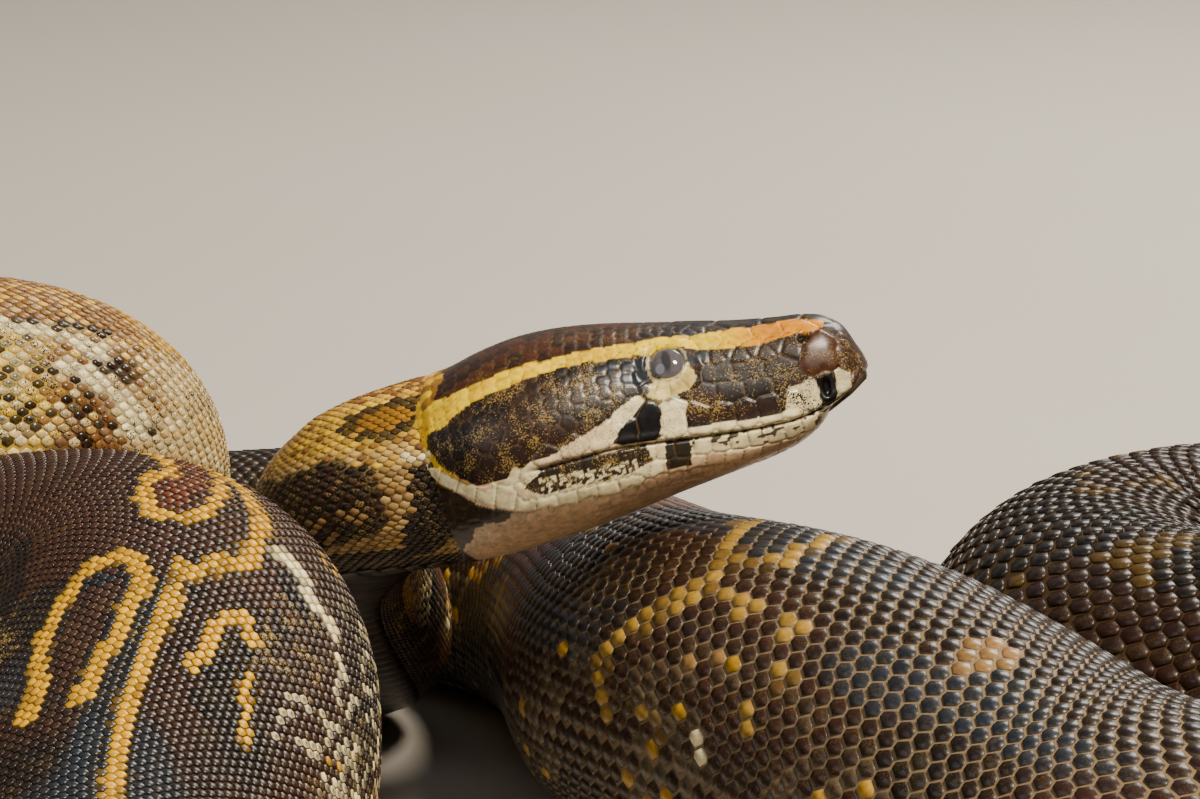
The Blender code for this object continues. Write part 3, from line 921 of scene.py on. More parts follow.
def new_material(name, roughness, specular=0.5, **sockets):
    """A material with its shader's constants set, its tree, its shader, and the piece's own coordinates."""
    material = bpy.data.materials.new(name)
    material.use_nodes = True
    tree = material.node_tree
    shader = tree.nodes["Principled BSDF"]
    shader.inputs["Roughness"].default_value = roughness
    shader.inputs["Specular IOR Level"].default_value = specular
    for key, value in sockets.items():
        shader.inputs[key.replace("_", " ")].default_value = value
    return material, tree, shader, add(tree, "TexCoord").outputs["Object"]


def grain(tree, place, scale, detail=2.0):
    """Noise from 0 to 1 over the piece's own coordinates."""
    return add(tree, "TexNoise", {}, {"Vector": place, "Scale": scale, "Detail": detail}).outputs["Fac"]


def times(tree, colour, share):
    """A colour made lighter or darker."""
    return add(tree, "VectorMath", {"operation": "SCALE"}, {0: colour, "Scale": share}).outputs["Vector"]


def roughen(tree, shader, height, strength):
    """Show a relief 0.2 mm deep."""
    bump = add(tree, "Bump", {}, {"Height": height, "Strength": strength, "Distance": 0.0002})
    tree.links.new(bump.outputs["Normal"], shader.inputs["Normal"])


def rgba(name):
    """A pigment as a node takes it."""
    return (*INK[name], 1.0)


def skin_material():
    """Skin between the scales: thin soft keratin, matt and tan, which shows as lines between them."""
    material, tree, shader, place = new_material("soft_skin_keratin", roughness=0.6, specular=0.3)
    colour = add(tree, "Attribute", {"attribute_name": "marking"})
    # fine wrinkles, about 1 mm apart
    wrinkles = grain(tree, place, 900.0, 3.0)
    tone = add(tree, "MapRange", {}, {"Value": wrinkles, "To Min": 0.75, "To Max": 1.2})
    painted = times(tree, colour.outputs["Color"], tone.outputs["Result"])
    tree.links.new(painted, shader.inputs["Base Color"])
    roughen(tree, shader, wrinkles, 0.4)
    return material


def scale_material(settings, name="beta_keratin_scale", roughness=0.36, flecks=True):
    """Beta-keratin scales: hard, smooth and glossy over pigment, with gold dust where the side is flecked."""
    material, tree, shader, place = new_material(name, roughness, 0.36, Coat_Weight=settings.gloss,
                                                 Coat_Roughness=0.14)
    shader.inputs["Specular Tint"].default_value = (0.94, 0.97, 1.0, 1.0)
    colour = add(tree, "Attribute", {"attribute_name": "marking"})
    fleck = add(tree, "Attribute", {"attribute_name": "fleck"}).outputs["Fac"]
    # growth mottling: pigment varies over 1 to 2 mm
    mottle = grain(tree, place, 620.0, 4.0)
    tone = add(tree, "MapRange", {}, {"Value": mottle, "From Min": 0.3, "From Max": 0.7,
                                      "To Min": 0.72, "To Max": 1.25})
    out = times(tree, colour.outputs["Color"], tone.outputs["Result"])
    if flecks:
        # gold dust: the real specks are near 0.1 mm, drawn at about 0.35 mm because finer ones do not show
        dust = grain(tree, place, 2700.0, 1.0)
        clusters = grain(tree, place, 210.0)
        both = add(tree, "Math", {"operation": "MULTIPLY_ADD"}, {0: clusters, 1: 0.7, 2: dust})
        specks = add(tree, "MapRange", {},
                     {"Value": both.outputs["Value"], "From Min": 0.93, "From Max": 1.04})
        for ink, edge in (("dust", 1.0), ("dark", -1.0)):
            amount = add(tree, "MapRange", {}, {"Value": fleck, "From Min": 0.0, "From Max": edge})
            share = add(tree, "Math", {"operation": "MULTIPLY"},
                        {0: specks.outputs["Result"], 1: amount.outputs["Result"]})
            speckled = add(tree, "Mix", {"data_type": "RGBA"},
                           {"Factor": share.outputs["Value"], "A": out, "B": rgba(ink)})
            out = speckled.outputs["Result"]
    tree.links.new(out, shader.inputs["Base Color"])
    # fine keels and pits, under 1 mm apart
    roughen(tree, shader, grain(tree, place, 1500.0), 0.12)
    # worn patches are duller, and so are flecked scales
    worn = add(tree, "MapRange", {},
               {"Value": mottle, "To Min": roughness - 0.08, "To Max": roughness + 0.14})
    matt = add(tree, "Math", {"operation": "MULTIPLY_ADD"}, {0: fleck, 1: 0.13, 2: worn.outputs["Result"]})
    tree.links.new(matt.outputs["Value"], shader.inputs["Roughness"])
    return material


def eye_material():
    """A living eye behind its clear spectacle scale: grey iris, upright pupil, wet gloss. Iris and pupil are
    lightened in part by painted highlight.
    """
    material, tree, shader, place = new_material("clear_spectacle_over_iris", 0.08, 0.6, Coat_Weight=1.0,
                                                 Coat_Roughness=0.03)
    local = add(tree, "Attribute", {"attribute_name": "eye_place"})
    parts = add(tree, "SeparateXYZ", {}, {"Vector": local.outputs["Vector"]})
    # the pupil is a distance that grows 2.6 times faster across than up
    wide = add(tree, "Math", {"operation": "MULTIPLY"}, {0: parts.outputs["X"], 1: 2.6})
    oval = add(tree, "CombineXYZ", {}, {"X": wide.outputs["Value"], "Y": parts.outputs["Y"]})
    slit = add(tree, "VectorMath", {"operation": "LENGTH"}, {0: oval.outputs["Vector"]})
    pupil = add(tree, "MapRange", {"interpolation_type": "SMOOTHSTEP"},
                {"Value": slit.outputs["Value"], "From Min": 0.34, "From Max": 0.62})
    # fibres of the iris, about 1 mm
    fibres = grain(tree, place, 900.0, 4.0)
    iris = add(tree, "Mix", {"data_type": "RGBA"},
               {"Factor": fibres, "A": rgba("iris"), "B": rgba("iris_light")})
    # painted highlight: the pupil is nearly as light as the iris, as under the spectacle's soft highlight
    whole = add(tree, "Mix", {"data_type": "RGBA"},
                {"Factor": pupil.outputs["Result"], "A": rgba("pupil"), "B": iris.outputs["Result"]})
    tree.links.new(whole.outputs["Result"], shader.inputs["Base Color"])
    return material


# ---------------------------------------------------------------- the skin

HEAD_RINGS = 26
SNOUT_RINGS = 6
BODY_RINGS = 960
SKIN_COLUMNS = 64
HEAD_COAT = 0.0022            # metres, how much deeper the skin lies under the head's shields
THINNEST = 0.0008             # metres, the skin's least half-width, at the tail's tip
CREASE_DEPTH = 0.0016         # metres
CREASE_SPACING = 0.0125       # metres


def fold_depth(s, t, radius, towards):
    """Depth of the creases across the inner side of a bend, metres. The belly's seam has none."""
    bend = between(s, LINE.s, LINE.bends)
    squeeze = radius * np.sum(bend * towards, axis=-1)
    wander = 4.5 * noise(s * 1000 / 46, t / 21, 51) + 1.2 * noise(s * 1000 / 14, t / 8, 52)
    crease = (0.5 + 0.5 * np.cos(2 * pi * s / CREASE_SPACING + wander)) ** 3
    return CREASE_DEPTH * crease * ramp(squeeze, 0.22, 0.7) * (1 - ramp(np.abs(t), 165, 180))


def skin_point(s, t, depth):
    """A point of the body's surface, at a depth (m) below the solids' outline."""
    centre, _, left, up = LINE.frame(s)
    across, height = body_section(t)
    towards = across[..., None] * left + height[..., None] * up
    radius = LINE.radius(s)
    sunk = depth + fold_depth(s, t, radius, towards)
    return centre + np.maximum(radius - sunk, THINNEST)[..., None] * towards


def surface(s, t, depth=0.0):
    """Skin points anywhere on the snake: s below 0 is on the head."""
    body = skin_point(np.maximum(s, 0), t, depth)
    behind = HEAD_LENGTH + np.minimum(s, 0) * 1000
    local = head_section(behind, t)
    middle = np.stack([local[..., 0], 0 * local[..., 1], mouth(behind)], -1)
    reach = np.linalg.norm(local - middle, axis=-1, keepdims=True)
    inward = np.broadcast_to(depth, np.shape(s))[..., None] * 1000
    local = middle + (local - middle) * (1 - inward / np.maximum(reach, inward + 0.5))
    share = ramp(s, -0.004, 0.002)[..., None]
    points = body * share + to_world(local) * (1 - share)
    points[..., 2] = np.maximum(points[..., 2], 0.0003)
    return points


def normals(s, t, depth=0.0, ds=0.0006, dt=1.5):
    """Directions along the body towards the tail, around it to the right, and outwards."""
    along = unit(surface(s + ds, t, depth) - surface(s - ds, t, depth))
    around = unit(surface(s, t + dt, depth) - surface(s, t - dt, depth))
    out = unit(np.cross(around, along))
    centre = LINE.frame(np.maximum(s, 0))[0]
    out = out * np.sign(np.sum(out * (surface(s, t, depth) - centre), axis=-1, keepdims=True))
    return along, unit(np.cross(out, along)), out


def build_skin(settings):
    """One skin from the snout to the tail's tip, under the scales by the coat's depth."""
    head_s = np.linspace(-HEAD_LENGTH * MM + 0.001, -0.003, HEAD_RINGS)
    body_s = np.linspace(0.0, LINE.length, BODY_RINGS)
    stations = np.r_[np.full(SNOUT_RINGS, head_s[0]), head_s, body_s, LINE.length]
    snout_shrink = np.linspace(0, 1, SNOUT_RINGS + 1)[:-1] ** 0.6
    shrink = np.r_[snout_shrink, np.ones(HEAD_RINGS + BODY_RINGS), 0.0]

    def place(i, j):
        s = stations[i]
        t = -180 + 360 * j / SKIN_COLUMNS
        points = surface(s, t, settings.coat_depth + HEAD_COAT * (1 - ramp(s, -0.010, 0.004)))
        behind = HEAD_LENGTH + np.minimum(s, 0) * 1000
        head_middle = to_world(np.stack([HEAD_LENGTH - behind, 0 * t, mouth(behind) + 1], -1))
        middle = np.where((s < 0)[:, None], head_middle, LINE.frame(np.maximum(s, 0))[0])
        points = middle + (points - middle) * shrink[i][:, None]
        dice = np.full(len(s), 0.5)
        marks, _, _ = body_markings(np.maximum(s, 0), t, dice)
        on_head = head_section(behind, t)
        head_marks, _ = head_markings(HEAD_LENGTH - on_head[:, 0], on_head[:, 1], on_head[:, 2], dice)
        # painted shade: under the head the skin is half as bright, so it shows dark through the nostrils and
        # between the shields
        marks = np.where((s < -0.002)[:, None], head_marks * 0.5, marks)
        marks = between_scales(marks, s * 1000)
        return points, {"marking": marks}, on_map(i / len(stations), j / SKIN_COLUMNS)

    mesh = wrapped_grid("skin", len(stations) - 1, SKIN_COLUMNS, place)
    mesh.materials.append(skin_material())
    flesh = [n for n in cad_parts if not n.startswith("eye")]
    piece = finished("skin", mesh)
    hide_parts(*sorted(flesh))


# ---------------------------------------------------------------- the scales

# Rows of scales counted all the way round: in front up to a distance from the jaw, behind by half-width, mm
FRONT_ROWS = ((62, 112), (130, 92), (214, 88), (340, 118), (360, 96), (450, 88), (500, 104), (545, 128),
              (745, 156), (790, 128), (840, 104), (920, 88))
ROW_STEPS = ((39, 76), (33, 70), (28, 64), (24, 58), (20, 50), (16, 44), (12, 36), (8, 28), (5, 22), (0, 14))
VENTRAL_FROM = 150            # degrees from the back, where the wide belly plates start
SCALE_PIECES = 10
# A scale's outline over its cell: the six corners meet the neighbours' corners
SCALE_OUTLINE = ((0.5, 0.13), (0.0, 0.37), (-0.5, 0.13), (-0.5, -0.13), (0.0, -0.37), (0.5, -0.13))
SCALE_TOP = 0.86              # size of a scale's top over its foot
SCALE_DOME = 0.30             # height of the top's middle over its edge, in scale heights
FULL_PITCH = 0.0034           # metres, the width of a scale that stands at its full height
FIRST_SCALE = -0.0052         # metres from the jaw, hidden under the head's shields
SECTION_GIRTH = 6.05          # length round the body's section, in half-widths
NECK_END = 0.13               # metres from the jaw
NECK_ROW, BODY_ROW = 1.62, 1.45   # a ring's length over a scale's width, on the neck and behind it
PLATE_COLUMNS = 12
FIRST_PLATE = 0.004           # metres from the jaw
LAST_PLATE = 0.012            # metres before the tail's tip
LEAST_PLATE = 0.0036          # metres, the length of the shortest plates
PLATE_SHARE = 0.21            # length of a plate over the body's half-width
PLATE_HEIGHT = 0.0008         # metres


def rows_for(s_mm, radius_mm):
    """How many rows of scales stand round the body."""
    for until, rows in FRONT_ROWS:
        if s_mm < until:
            return rows
    return next(rows for least, rows in ROW_STEPS if radius_mm >= least)


def scale_lattice():
    """For each scale: s, t, length and width of its cell, degrees a row, and a number of its own."""
    found = []
    s, ring = FIRST_SCALE, 0
    while s < LINE.length - 0.001:
        radius = float(LINE.radius(max(s, 0)))
        rows = rows_for(s * 1000, radius * 1000)
        pitch = SECTION_GIRTH * radius / rows
        step = (NECK_ROW if s < NECK_END else BODY_ROW) * pitch
        for half in (0, 1):
            t = (2 * np.arange(rows // 2) + half + 0.5) * 360 / rows - 180
            t = t[np.abs(t) < VENTRAL_FROM]
            whole = np.ones(len(t))
            dice = lattice_random(np.rint(t * 10), ring * 2 + half, 17)
            found.append(np.stack([(s + half * step / 2) * whole, t, step * whole, pitch * whole,
                                   360 / rows * whole, dice], 1))
        s += step
        ring += 1
    cells = np.concatenate(found)
    cells = cells[cells[:, 0] < LINE.length - 0.0005]
    return cells[np.argsort(cells[:, 0], kind="stable")]


def between_scales(marks, s_mm):
    """Colour of the soft skin between scales: dark on the fore body, tan behind, and kept dark on the shaded
    coil as painted shade.
    """
    bright = ramp(marks.mean(axis=-1), 0.06, 0.25)[..., None]
    # painted shade: less tan on the shaded coil
    tan = (0.06 + 0.50 * ramp(s_mm, 900, 1500)) * (1 - 0.75 * zone(s_mm, SHADED_COIL))
    skin = mix(marks * (0.5 + 0.25 * bright), "tan", tan)
    return mix(skin, "horn", 0.45 * zone(s_mm, STRETCHED_COIL))


def scale_shapes(cells, template, settings):
    """Points of each scale, sized to its cell, which bends stretch and squeeze, and leaning a little."""
    s, t, step, pitch, turn, dice = cells.T
    depth = settings.coat_depth
    along, around, out = normals(s, t, depth)
    long = np.linalg.norm(surface(s + step / 2, t, depth) - surface(s - step / 2, t, depth), axis=1)
    wide = np.linalg.norm(surface(s, t + turn, depth) - surface(s, t - turn, depth), axis=1)
    cover = settings.scale_cover * (1 - 0.10 * zone(s * 1000, STRETCHED_COIL))
    long = cover * np.clip(long, 0.2 * step, 1.3 * step)
    wide = cover * np.clip(wide, 0.8 * pitch, 2.6 * pitch)
    height = settings.scale_height * clamp(pitch / FULL_PITCH, 0.3, 1.0) * (0.9 + 0.2 * dice)
    a, b, h = (template[None, :, k:k + 1] for k in range(3))
    top = h > 0.5
    a = a * long[:, None, None]
    b = b * wide[:, None, None]
    h = h * height[:, None, None] * 0.75 - 0.25 * height[:, None, None]
    lean = 0.09 + 0.07 * (chance(dice, 31) - 0.5)[:, None, None]
    cant = 0.12 * (chance(dice, 32) - 0.5)[:, None, None]
    h = h + (a * lean + b * cant) * top
    points = surface(s, t, depth)[:, None] + a * along[:, None] + b * around[:, None] + h * out[:, None]
    points[..., 2] = np.maximum(points[..., 2], 0.0)
    return points


def build_scales(settings):
    """Closed, domed, back-tilted scales in staggered rows, as joined meshes along the body."""
    template, faces = scale_template()
    low = template[:, 2] < 0.5
    outer = np.hypot(template[:, 0], template[:, 1]) > 0.1
    material = scale_material(settings)
    for index, cells in enumerate(np.array_split(scale_lattice(), SCALE_PIECES)):
        s, t, dice = cells[:, 0], cells[:, 1], cells[:, 5]
        points = scale_shapes(cells, template, settings)
        colour, fleck, rim = body_markings(s, t, dice)
        colour = colour * (0.80 + 0.40 * chance(dice, 2))[:, None]
        pale_edge = (rim * (chance(dice, 12) > 0.25))[:, None] * outer[None]
        tone = mix(colour[:, None], "cream", pale_edge)
        tone = np.where(low[None, :, None], between_scales(colour, s * 1000)[:, None], tone)
        places = on_map((s - s.min()) / (s.max() - s.min()), (t + 180) / 360)
        mesh = joined(f"scales_{index + 1:02d}", points, faces, {"marking": tone, "fleck": fleck}, places)
        mesh.materials.append(material)
        finished(mesh.name, mesh)


def build_ventrals(settings):
    """Wide belly plates, one behind the other, from the throat to the tail."""
    stations, s = [], FIRST_PLATE
    while s < LINE.length - LAST_PLATE:
        step = max(LEAST_PLATE, PLATE_SHARE * float(LINE.radius(s)))
        stations.append((s, step))
        s += step
    build = bmesh.new()
    bmesh.ops.create_grid(build, x_segments=3, y_segments=PLATE_COLUMNS, size=0.5)
    raise_copy(build)
    template, faces = as_template(build)
    s, step = np.array(stations).T
    half_angle = 180 - VENTRAL_FROM + 1.5
    rounding = np.sqrt(clamp(1 - (2 * template[:, 1]) ** 4))
    at_s = s[:, None] + template[None, :, 0] * (1.10 * step[:, None]) * (0.55 + 0.45 * rounding[None])
    at_t = 180 + template[None, :, 1] * 2 * half_angle
    at_t = np.where(at_t > 180, at_t - 360, at_t) + 0 * at_s
    at_s, at_t = at_s.ravel(), at_t.ravel()
    foot = surface(at_s, at_t, settings.coat_depth)
    _, _, out = normals(at_s, at_t, settings.coat_depth)
    lift = template[:, 2] * PLATE_HEIGHT - 0.0003 + template[:, 0] * 0.0004
    points = (foot + out * np.tile(lift, len(s))[:, None]).reshape(len(s), -1, 3)
    points[..., 2] = np.maximum(points[..., 2], 0.0)
    dice = lattice_random(np.arange(len(s)), 5, 23)
    colour, fleck, _ = body_markings(s, np.full(len(s), 178.0), dice)
    places = on_map(s / LINE.length, np.full(len(s), 0.5))
    mesh = joined("belly_plates", points, faces, {"marking": colour, "fleck": fleck * 0}, places)
    mesh.materials.append(scale_material(settings, "beta_keratin_belly", 0.36, flecks=False))
    finished("belly_plates", mesh)


# ---------------------------------------------------------------- the head's shields

HEAD_MESH_RINGS = 316
HEAD_MESH_COLUMNS = 296
SNOUT_MESH_RINGS = 22
SHELL_END = HEAD_LENGTH + 3.5         # mm behind the snout, hidden under the neck's first scales
SNOUT_MIDDLE = (0, -1.2)              # mm, left and up, where the snout's rings close
ROUND_FACTOR = 1.62                   # length round the head's section over its width plus its height
SPACING = 0.90                        # from ring to ring of small scales, over their width
CLEARANCE = 0.42                      # a small scale's least distance from a shield, over its width
RELIEF_SINK = 0.55                    # mm, the gaps between shields below the solids' outline
# Swellings and hollows of the side, mm: rise, then middle and half-size along the head, then in height
CHEEK, LOREAL_HOLLOW, BROW = (0.9, 74, 13, 3, 7), (-0.5, 27, 8, 5, 3), (0.8, 41, 7, 13.5, 2.2)
# Openings, the same way without the rise: nostril, and the heat pit of the first labials
NOSTRIL, HEAT_PIT = (12.2, 1.35, 8.9, 1.05), (9.4, 1.1, -2.8, 2.3)
UPPER_LABIALS = (((5.4, -4.2), (5.6, -1.6)), ((9.2, -4.8), (9.2, -2.0)), ((13.4, -5.6), (13.4, -2.8)),
                 ((17.6, -6.2), (17.6, -3.2)), ((22.6, -6.2), (22.6, -3.2)), ((27.6, -6.0), (27.6, -3.0)),
                 ((32.6, -5.6), (32.6, -2.6)), ((37.6, -5.2), (37.6, -2.2)),
                 ((43.8, -4.8), (43.2, -1.6), (42.8, 1.4)), ((49.4, -4.4), (48.8, -1.8), (48.0, 0.8)),
                 ((53.4, -3.8), (53.0, -1.6)), ((59.4, -3.4), (57.6, -0.8)), ((65.6, -3.6), (64.2, -2.0)),
                 ((71.6, -4.0), (70.4, -3.2)))
LOREALS = (((17.6, 4.2), (20.2, 4.4)), ((23.8, 5.0), (26.8, 5.4)), ((30.6, 6.0), (33.4, 6.4)),
           ((16.6, 0.4), (19.0, 0.4)), ((22.6, 0.6), (25.2, 0.8)), ((28.8, 1.2), (31.2, 1.6)), ((35.0, 2.2),))


def at_side(*spots):
    """Spots (mm behind the snout, mm above the axis) of the head's side, as (mm behind, angle)."""
    return [(b, angle_at_height(np.float64(b), np.float64(z))) for b, z in spots]


def on_top(*spots):
    """Spots (mm behind the snout, mm from the middle) of the crown, as (mm behind, angle)."""
    return [(b, angle_at_side(np.float64(b), np.float64(y))) for b, y in spots]


def shield_plan():
    """Each large shield: its spots, its border's width, its height and its reach (mm), and its sides."""
    both, middle = (1, -1), (1,)
    yield [(0.3, 10), (0.3, 70), (0.3, -70), (2.4, 88), (2.4, -88)], 1.0, 0.5, 2.6, middle  # rostral
    yield [(0.4, 180), (3.5, 168), (3.5, -168)], 0.8, 0.4, 3.0, middle                      # mental
    yield at_side((7.2, 2.8), (7.4, 6.6), (10.8, 3.2), (10.6, 6.2)), 1.8, 0.8, 2.6, both    # nasal
    yield at_side((15.6, 7.4)), 0.8, 0.4, 2.0, both                                         # behind nostril
    yield on_top((7.0, 2.8), (10.0, 3.2)), 1.0, 0.45, 2.6, both                             # internasals
    yield on_top((14.6, 2.6), (18.0, 2.8)), 1.0, 0.45, 2.8, both                            # prefrontals
    yield on_top((24.0, 3.2), (28.4, 3.4)), 1.0, 0.45, 2.8, both
    yield on_top((34.0, 3.0), (38.6, 3.0)), 1.0, 0.45, 2.6, both                            # frontals
    for b in (13.5, 19.5, 26.5, 33.0):                                                      # canthals, gold
        y = 0.5 * float(STRIPE_INNER(np.float64(b)) + STRIPE_OUTER(np.float64(b)))
        angle = angle_at_side(np.float64(b), y)
        yield [(b - 1.3, angle), (b + 1.3, angle)], 0.8, 0.42, 2.4, both
    yield on_top((39.0, 11.8), (42.5, 12.6), (46.0, 13.6)), 0.9, 0.5, 2.2, both             # over the eye
    for spots in LOREALS:
        yield at_side(*spots), 1.0, 0.20, 2.3, both
    for k in range(10):                                                                     # round the eye
        turn = radians(125 + 290 * k / 9)
        spot = (EYE_BEHIND - 5.9 * cos(turn), 10.0 + 5.6 * sin(turn))
        yield at_side(spot), 0.55, 0.5, 1.5, both
    for spots in UPPER_LABIALS:
        yield at_side(*spots), 0.75, 0.5, 2.3, both
    for k in range(18):                                                                     # lower labials
        b = 6.4 + 4.0 * k
        low = float(mouth(np.float64(b)))
        yield at_side((b, low - 1.0), (b, low - 2.6)), 0.7, 0.42, 1.9, both
        yield at_side((b + 1.0, low - 5.4), (b + 3.0, low - 5.4)), 0.7, 0.40, 1.9, both
    line = np.array(WHITE_LINE[:-1][::-1])
    along = np.r_[0, np.cumsum(np.hypot(*np.diff(line, axis=0).T))]
    for at in np.arange(1.5, along[-1] - 2, 4.5):                                           # white line
        spots = between(at + np.array([-1.2, 1.2]), along, line)
        yield at_side(*spots), 0.7, 0.45, 1.7, both
    for b in (9, 16, 23):                                                                   # chin shields
        yield [(b, 163), (b + 3, 163)], 0.7, 0.35, 2.4, both


def head_seeds():
    """Middles of shields and small scales, each with its shield's number, edge width, height and reach."""
    seeds, number = [], 0
    for spots, edge, height, reach, sides in shield_plan():
        for side in sides:
            number += 1
            seeds.extend((b, side * float(angle), number, edge, height, reach) for b, angle in spots)
    # small scales fill the rest in staggered rows
    fixed = np.array(seeds)
    placed = head_section(fixed[:, 0], fixed[:, 1])
    row, b = 0, 2.0
    while b < HEAD_LENGTH + 3:
        girth = 2 * (float(half_width(b)) + (float(crown(b)) - float(throat(b))) / 2) * ROUND_FACTOR
        count = 30 if b < 18 else 36 if b < 34 else 48
        spread = girth / count
        for k in range(count):
            t = -180 + 360 * (k + 0.5 * (row % 2) + 0.25) / count
            point = head_section(np.float64(b), np.float64(t))
            away = np.linalg.norm(placed - point, axis=1) - fixed[:, 5]
            if away.min() > CLEARANCE * spread:
                number += 1
                rise = 0.20 + 0.14 * float(ramp(-abs(t), -64, -46))
                seeds.append((b + 0.7 * (lattice_random(row, k, 71) - 0.5), t, number, 0.75, rise, 0))
        b += spread * SPACING
        row += 1
    return np.array(seeds)


def relief(points, seeds, chunk=4000):
    """For each point: its nearest seed, and the distance to its shield's border."""
    middles = head_section(seeds[:, 0], seeds[:, 1])
    shields = seeds[:, 2]
    nearest = np.zeros(len(points), int)
    border = np.zeros(len(points))
    for a in range(0, len(points), chunk):
        part = points[a:a + chunk]
        square = ((part ** 2).sum(1)[:, None] - 2 * part @ middles.T + (middles ** 2).sum(1)[None])
        first = square.argmin(1)
        here = np.arange(len(part))
        own = square[here, first]
        other = np.where(shields[None, :] == shields[first][:, None], 1e9, square)
        second = other.argmin(1)
        gap = np.linalg.norm(middles[first] - middles[second], axis=1)
        nearest[a:a + chunk] = first
        border[a:a + chunk] = (other[here, second] - own) / (2 * gap)
    return nearest, border


def head_columns():
    """Angles of the head mesh's columns: closer on the sides and along the mouth."""
    t = np.linspace(-180, 180, 2001)
    side = np.abs(t)
    density = 0.55 + 0.9 * np.exp(-((side - 82) / 34) ** 2) + 2.2 * np.exp(-((side - 90) / 3.0) ** 2)
    total = np.r_[0, np.cumsum((density[1:] + density[:-1]) / 2)]
    return np.interp(np.linspace(0, total[-1], HEAD_MESH_COLUMNS + 1), total, t)


def smooth_head(behind, t, grow):
    """Points of the closed head before its relief, mm: round at the snout, with the lower jaw set back."""
    within = np.minimum(behind, HEAD_LENGTH)
    local = head_section(within, t)
    local[:, 0] -= behind - within
    local[:, 1:] = SNOUT_MIDDLE + (local[:, 1:] - SNOUT_MIDDLE) * grow[:, None]
    local[:, 0] += 0.9 * (1 - grow ** 2) * (behind <= 0)
    local[:, 0] -= 1.2 * (1 - ramp(behind, 0, 12))
    below_lips = ramp(local[:, 2], mouth(within) + 0.3, mouth(within) - 2.2)
    local[:, 0] -= 4.2 * below_lips * (1 - ramp(behind, 0, 16))
    return local


def opening(within, local, size):
    """One in the middle of a small opening on each side, zero outside it."""
    b, half_b, z, half_z = size
    away = np.hypot((within - b) / half_b, (local[:, 2] - z) / half_z)
    return (1 - ramp(away, 0.55, 1.15)) * (np.abs(local[:, 1]) > 3)


def in_mouth(within):
    """One along the mouth, zero behind its corner."""
    return ramp(MOUTH_CORNER + 1 - within, 0, 5)


def shape_lift(within, local):
    """Relief of the mouth, the cheeks, the hollows before the eyes and the brows, mm."""
    # the mouth is a closed slit under a slightly overhanging upper lip
    from_lips = local[:, 2] - mouth(within)
    slit = 1.35 * np.exp(-(from_lips / 0.42) ** 2)
    tucked = 0.55 * ramp(-from_lips, 0, 0.6) * (1 - ramp(-from_lips, 2.5, 7))
    overhang = 0.25 * np.exp(-((from_lips - 1.5) / 1.0) ** 2)
    lift = in_mouth(within) * (overhang - slit - tucked)
    for rise, b, half_b, z, half_z in (CHEEK, LOREAL_HOLLOW, BROW):
        lift = lift + rise * np.exp(-((within - b) / half_b) ** 2 - ((local[:, 2] - z) / half_z) ** 2)
    return lift


def round_eyes(local):
    """Drop the surface under each eyeball inside the lids' disc, and raise a rim outside it."""
    rim_at = np.sqrt(EYE_RADIUS ** 2 - EYE_SHOWS ** 2)
    for mirror in (1, -1):
        axis = np.array(EYE_AXIS) / np.linalg.norm(EYE_AXIS) * (1, mirror, 1)
        offset = local - np.array(EYE_CENTRE) * (1, mirror, 1)
        ahead = offset @ axis
        wide = np.linalg.norm(offset - ahead[:, None] * axis, axis=1)
        rim = rim_at + 0.45 * np.exp(-((wide - EYE_SHOWS - 0.5) / 0.55) ** 2)
        under_ball = rim_at - 1.3 * ramp(EYE_SHOWS - wide, 0.0, 0.7)
        pull = (1 - ramp(wide, EYE_SHOWS + 0.7, EYE_SHOWS + 3.6)) * (ahead > 0)
        target = np.where(wide < EYE_SHOWS, under_ball, rim)
        local = local + axis * ((target - ahead) * pull)[:, None]
    return local


def head_colours(local, middles, border, dice, smoothness):
    """Colour and specks of the relief's points, by shield and with darker gaps between shields."""
    spot = 0.12 * middles + 0.88 * local
    colour, fleck = head_markings(HEAD_LENGTH - spot[:, 0], spot[:, 1], spot[:, 2], dice)
    colour = colour * (0.86 + 0.28 * dice)[:, None]
    gap = (1 - ramp(border, 0.03, 0.17)) * smoothness
    tan_line = 0.28 * (gap * (colour.mean(1) < 0.05))[:, None] * INK["tan"]
    return colour * (1 - 0.55 * gap)[:, None] + tan_line, fleck


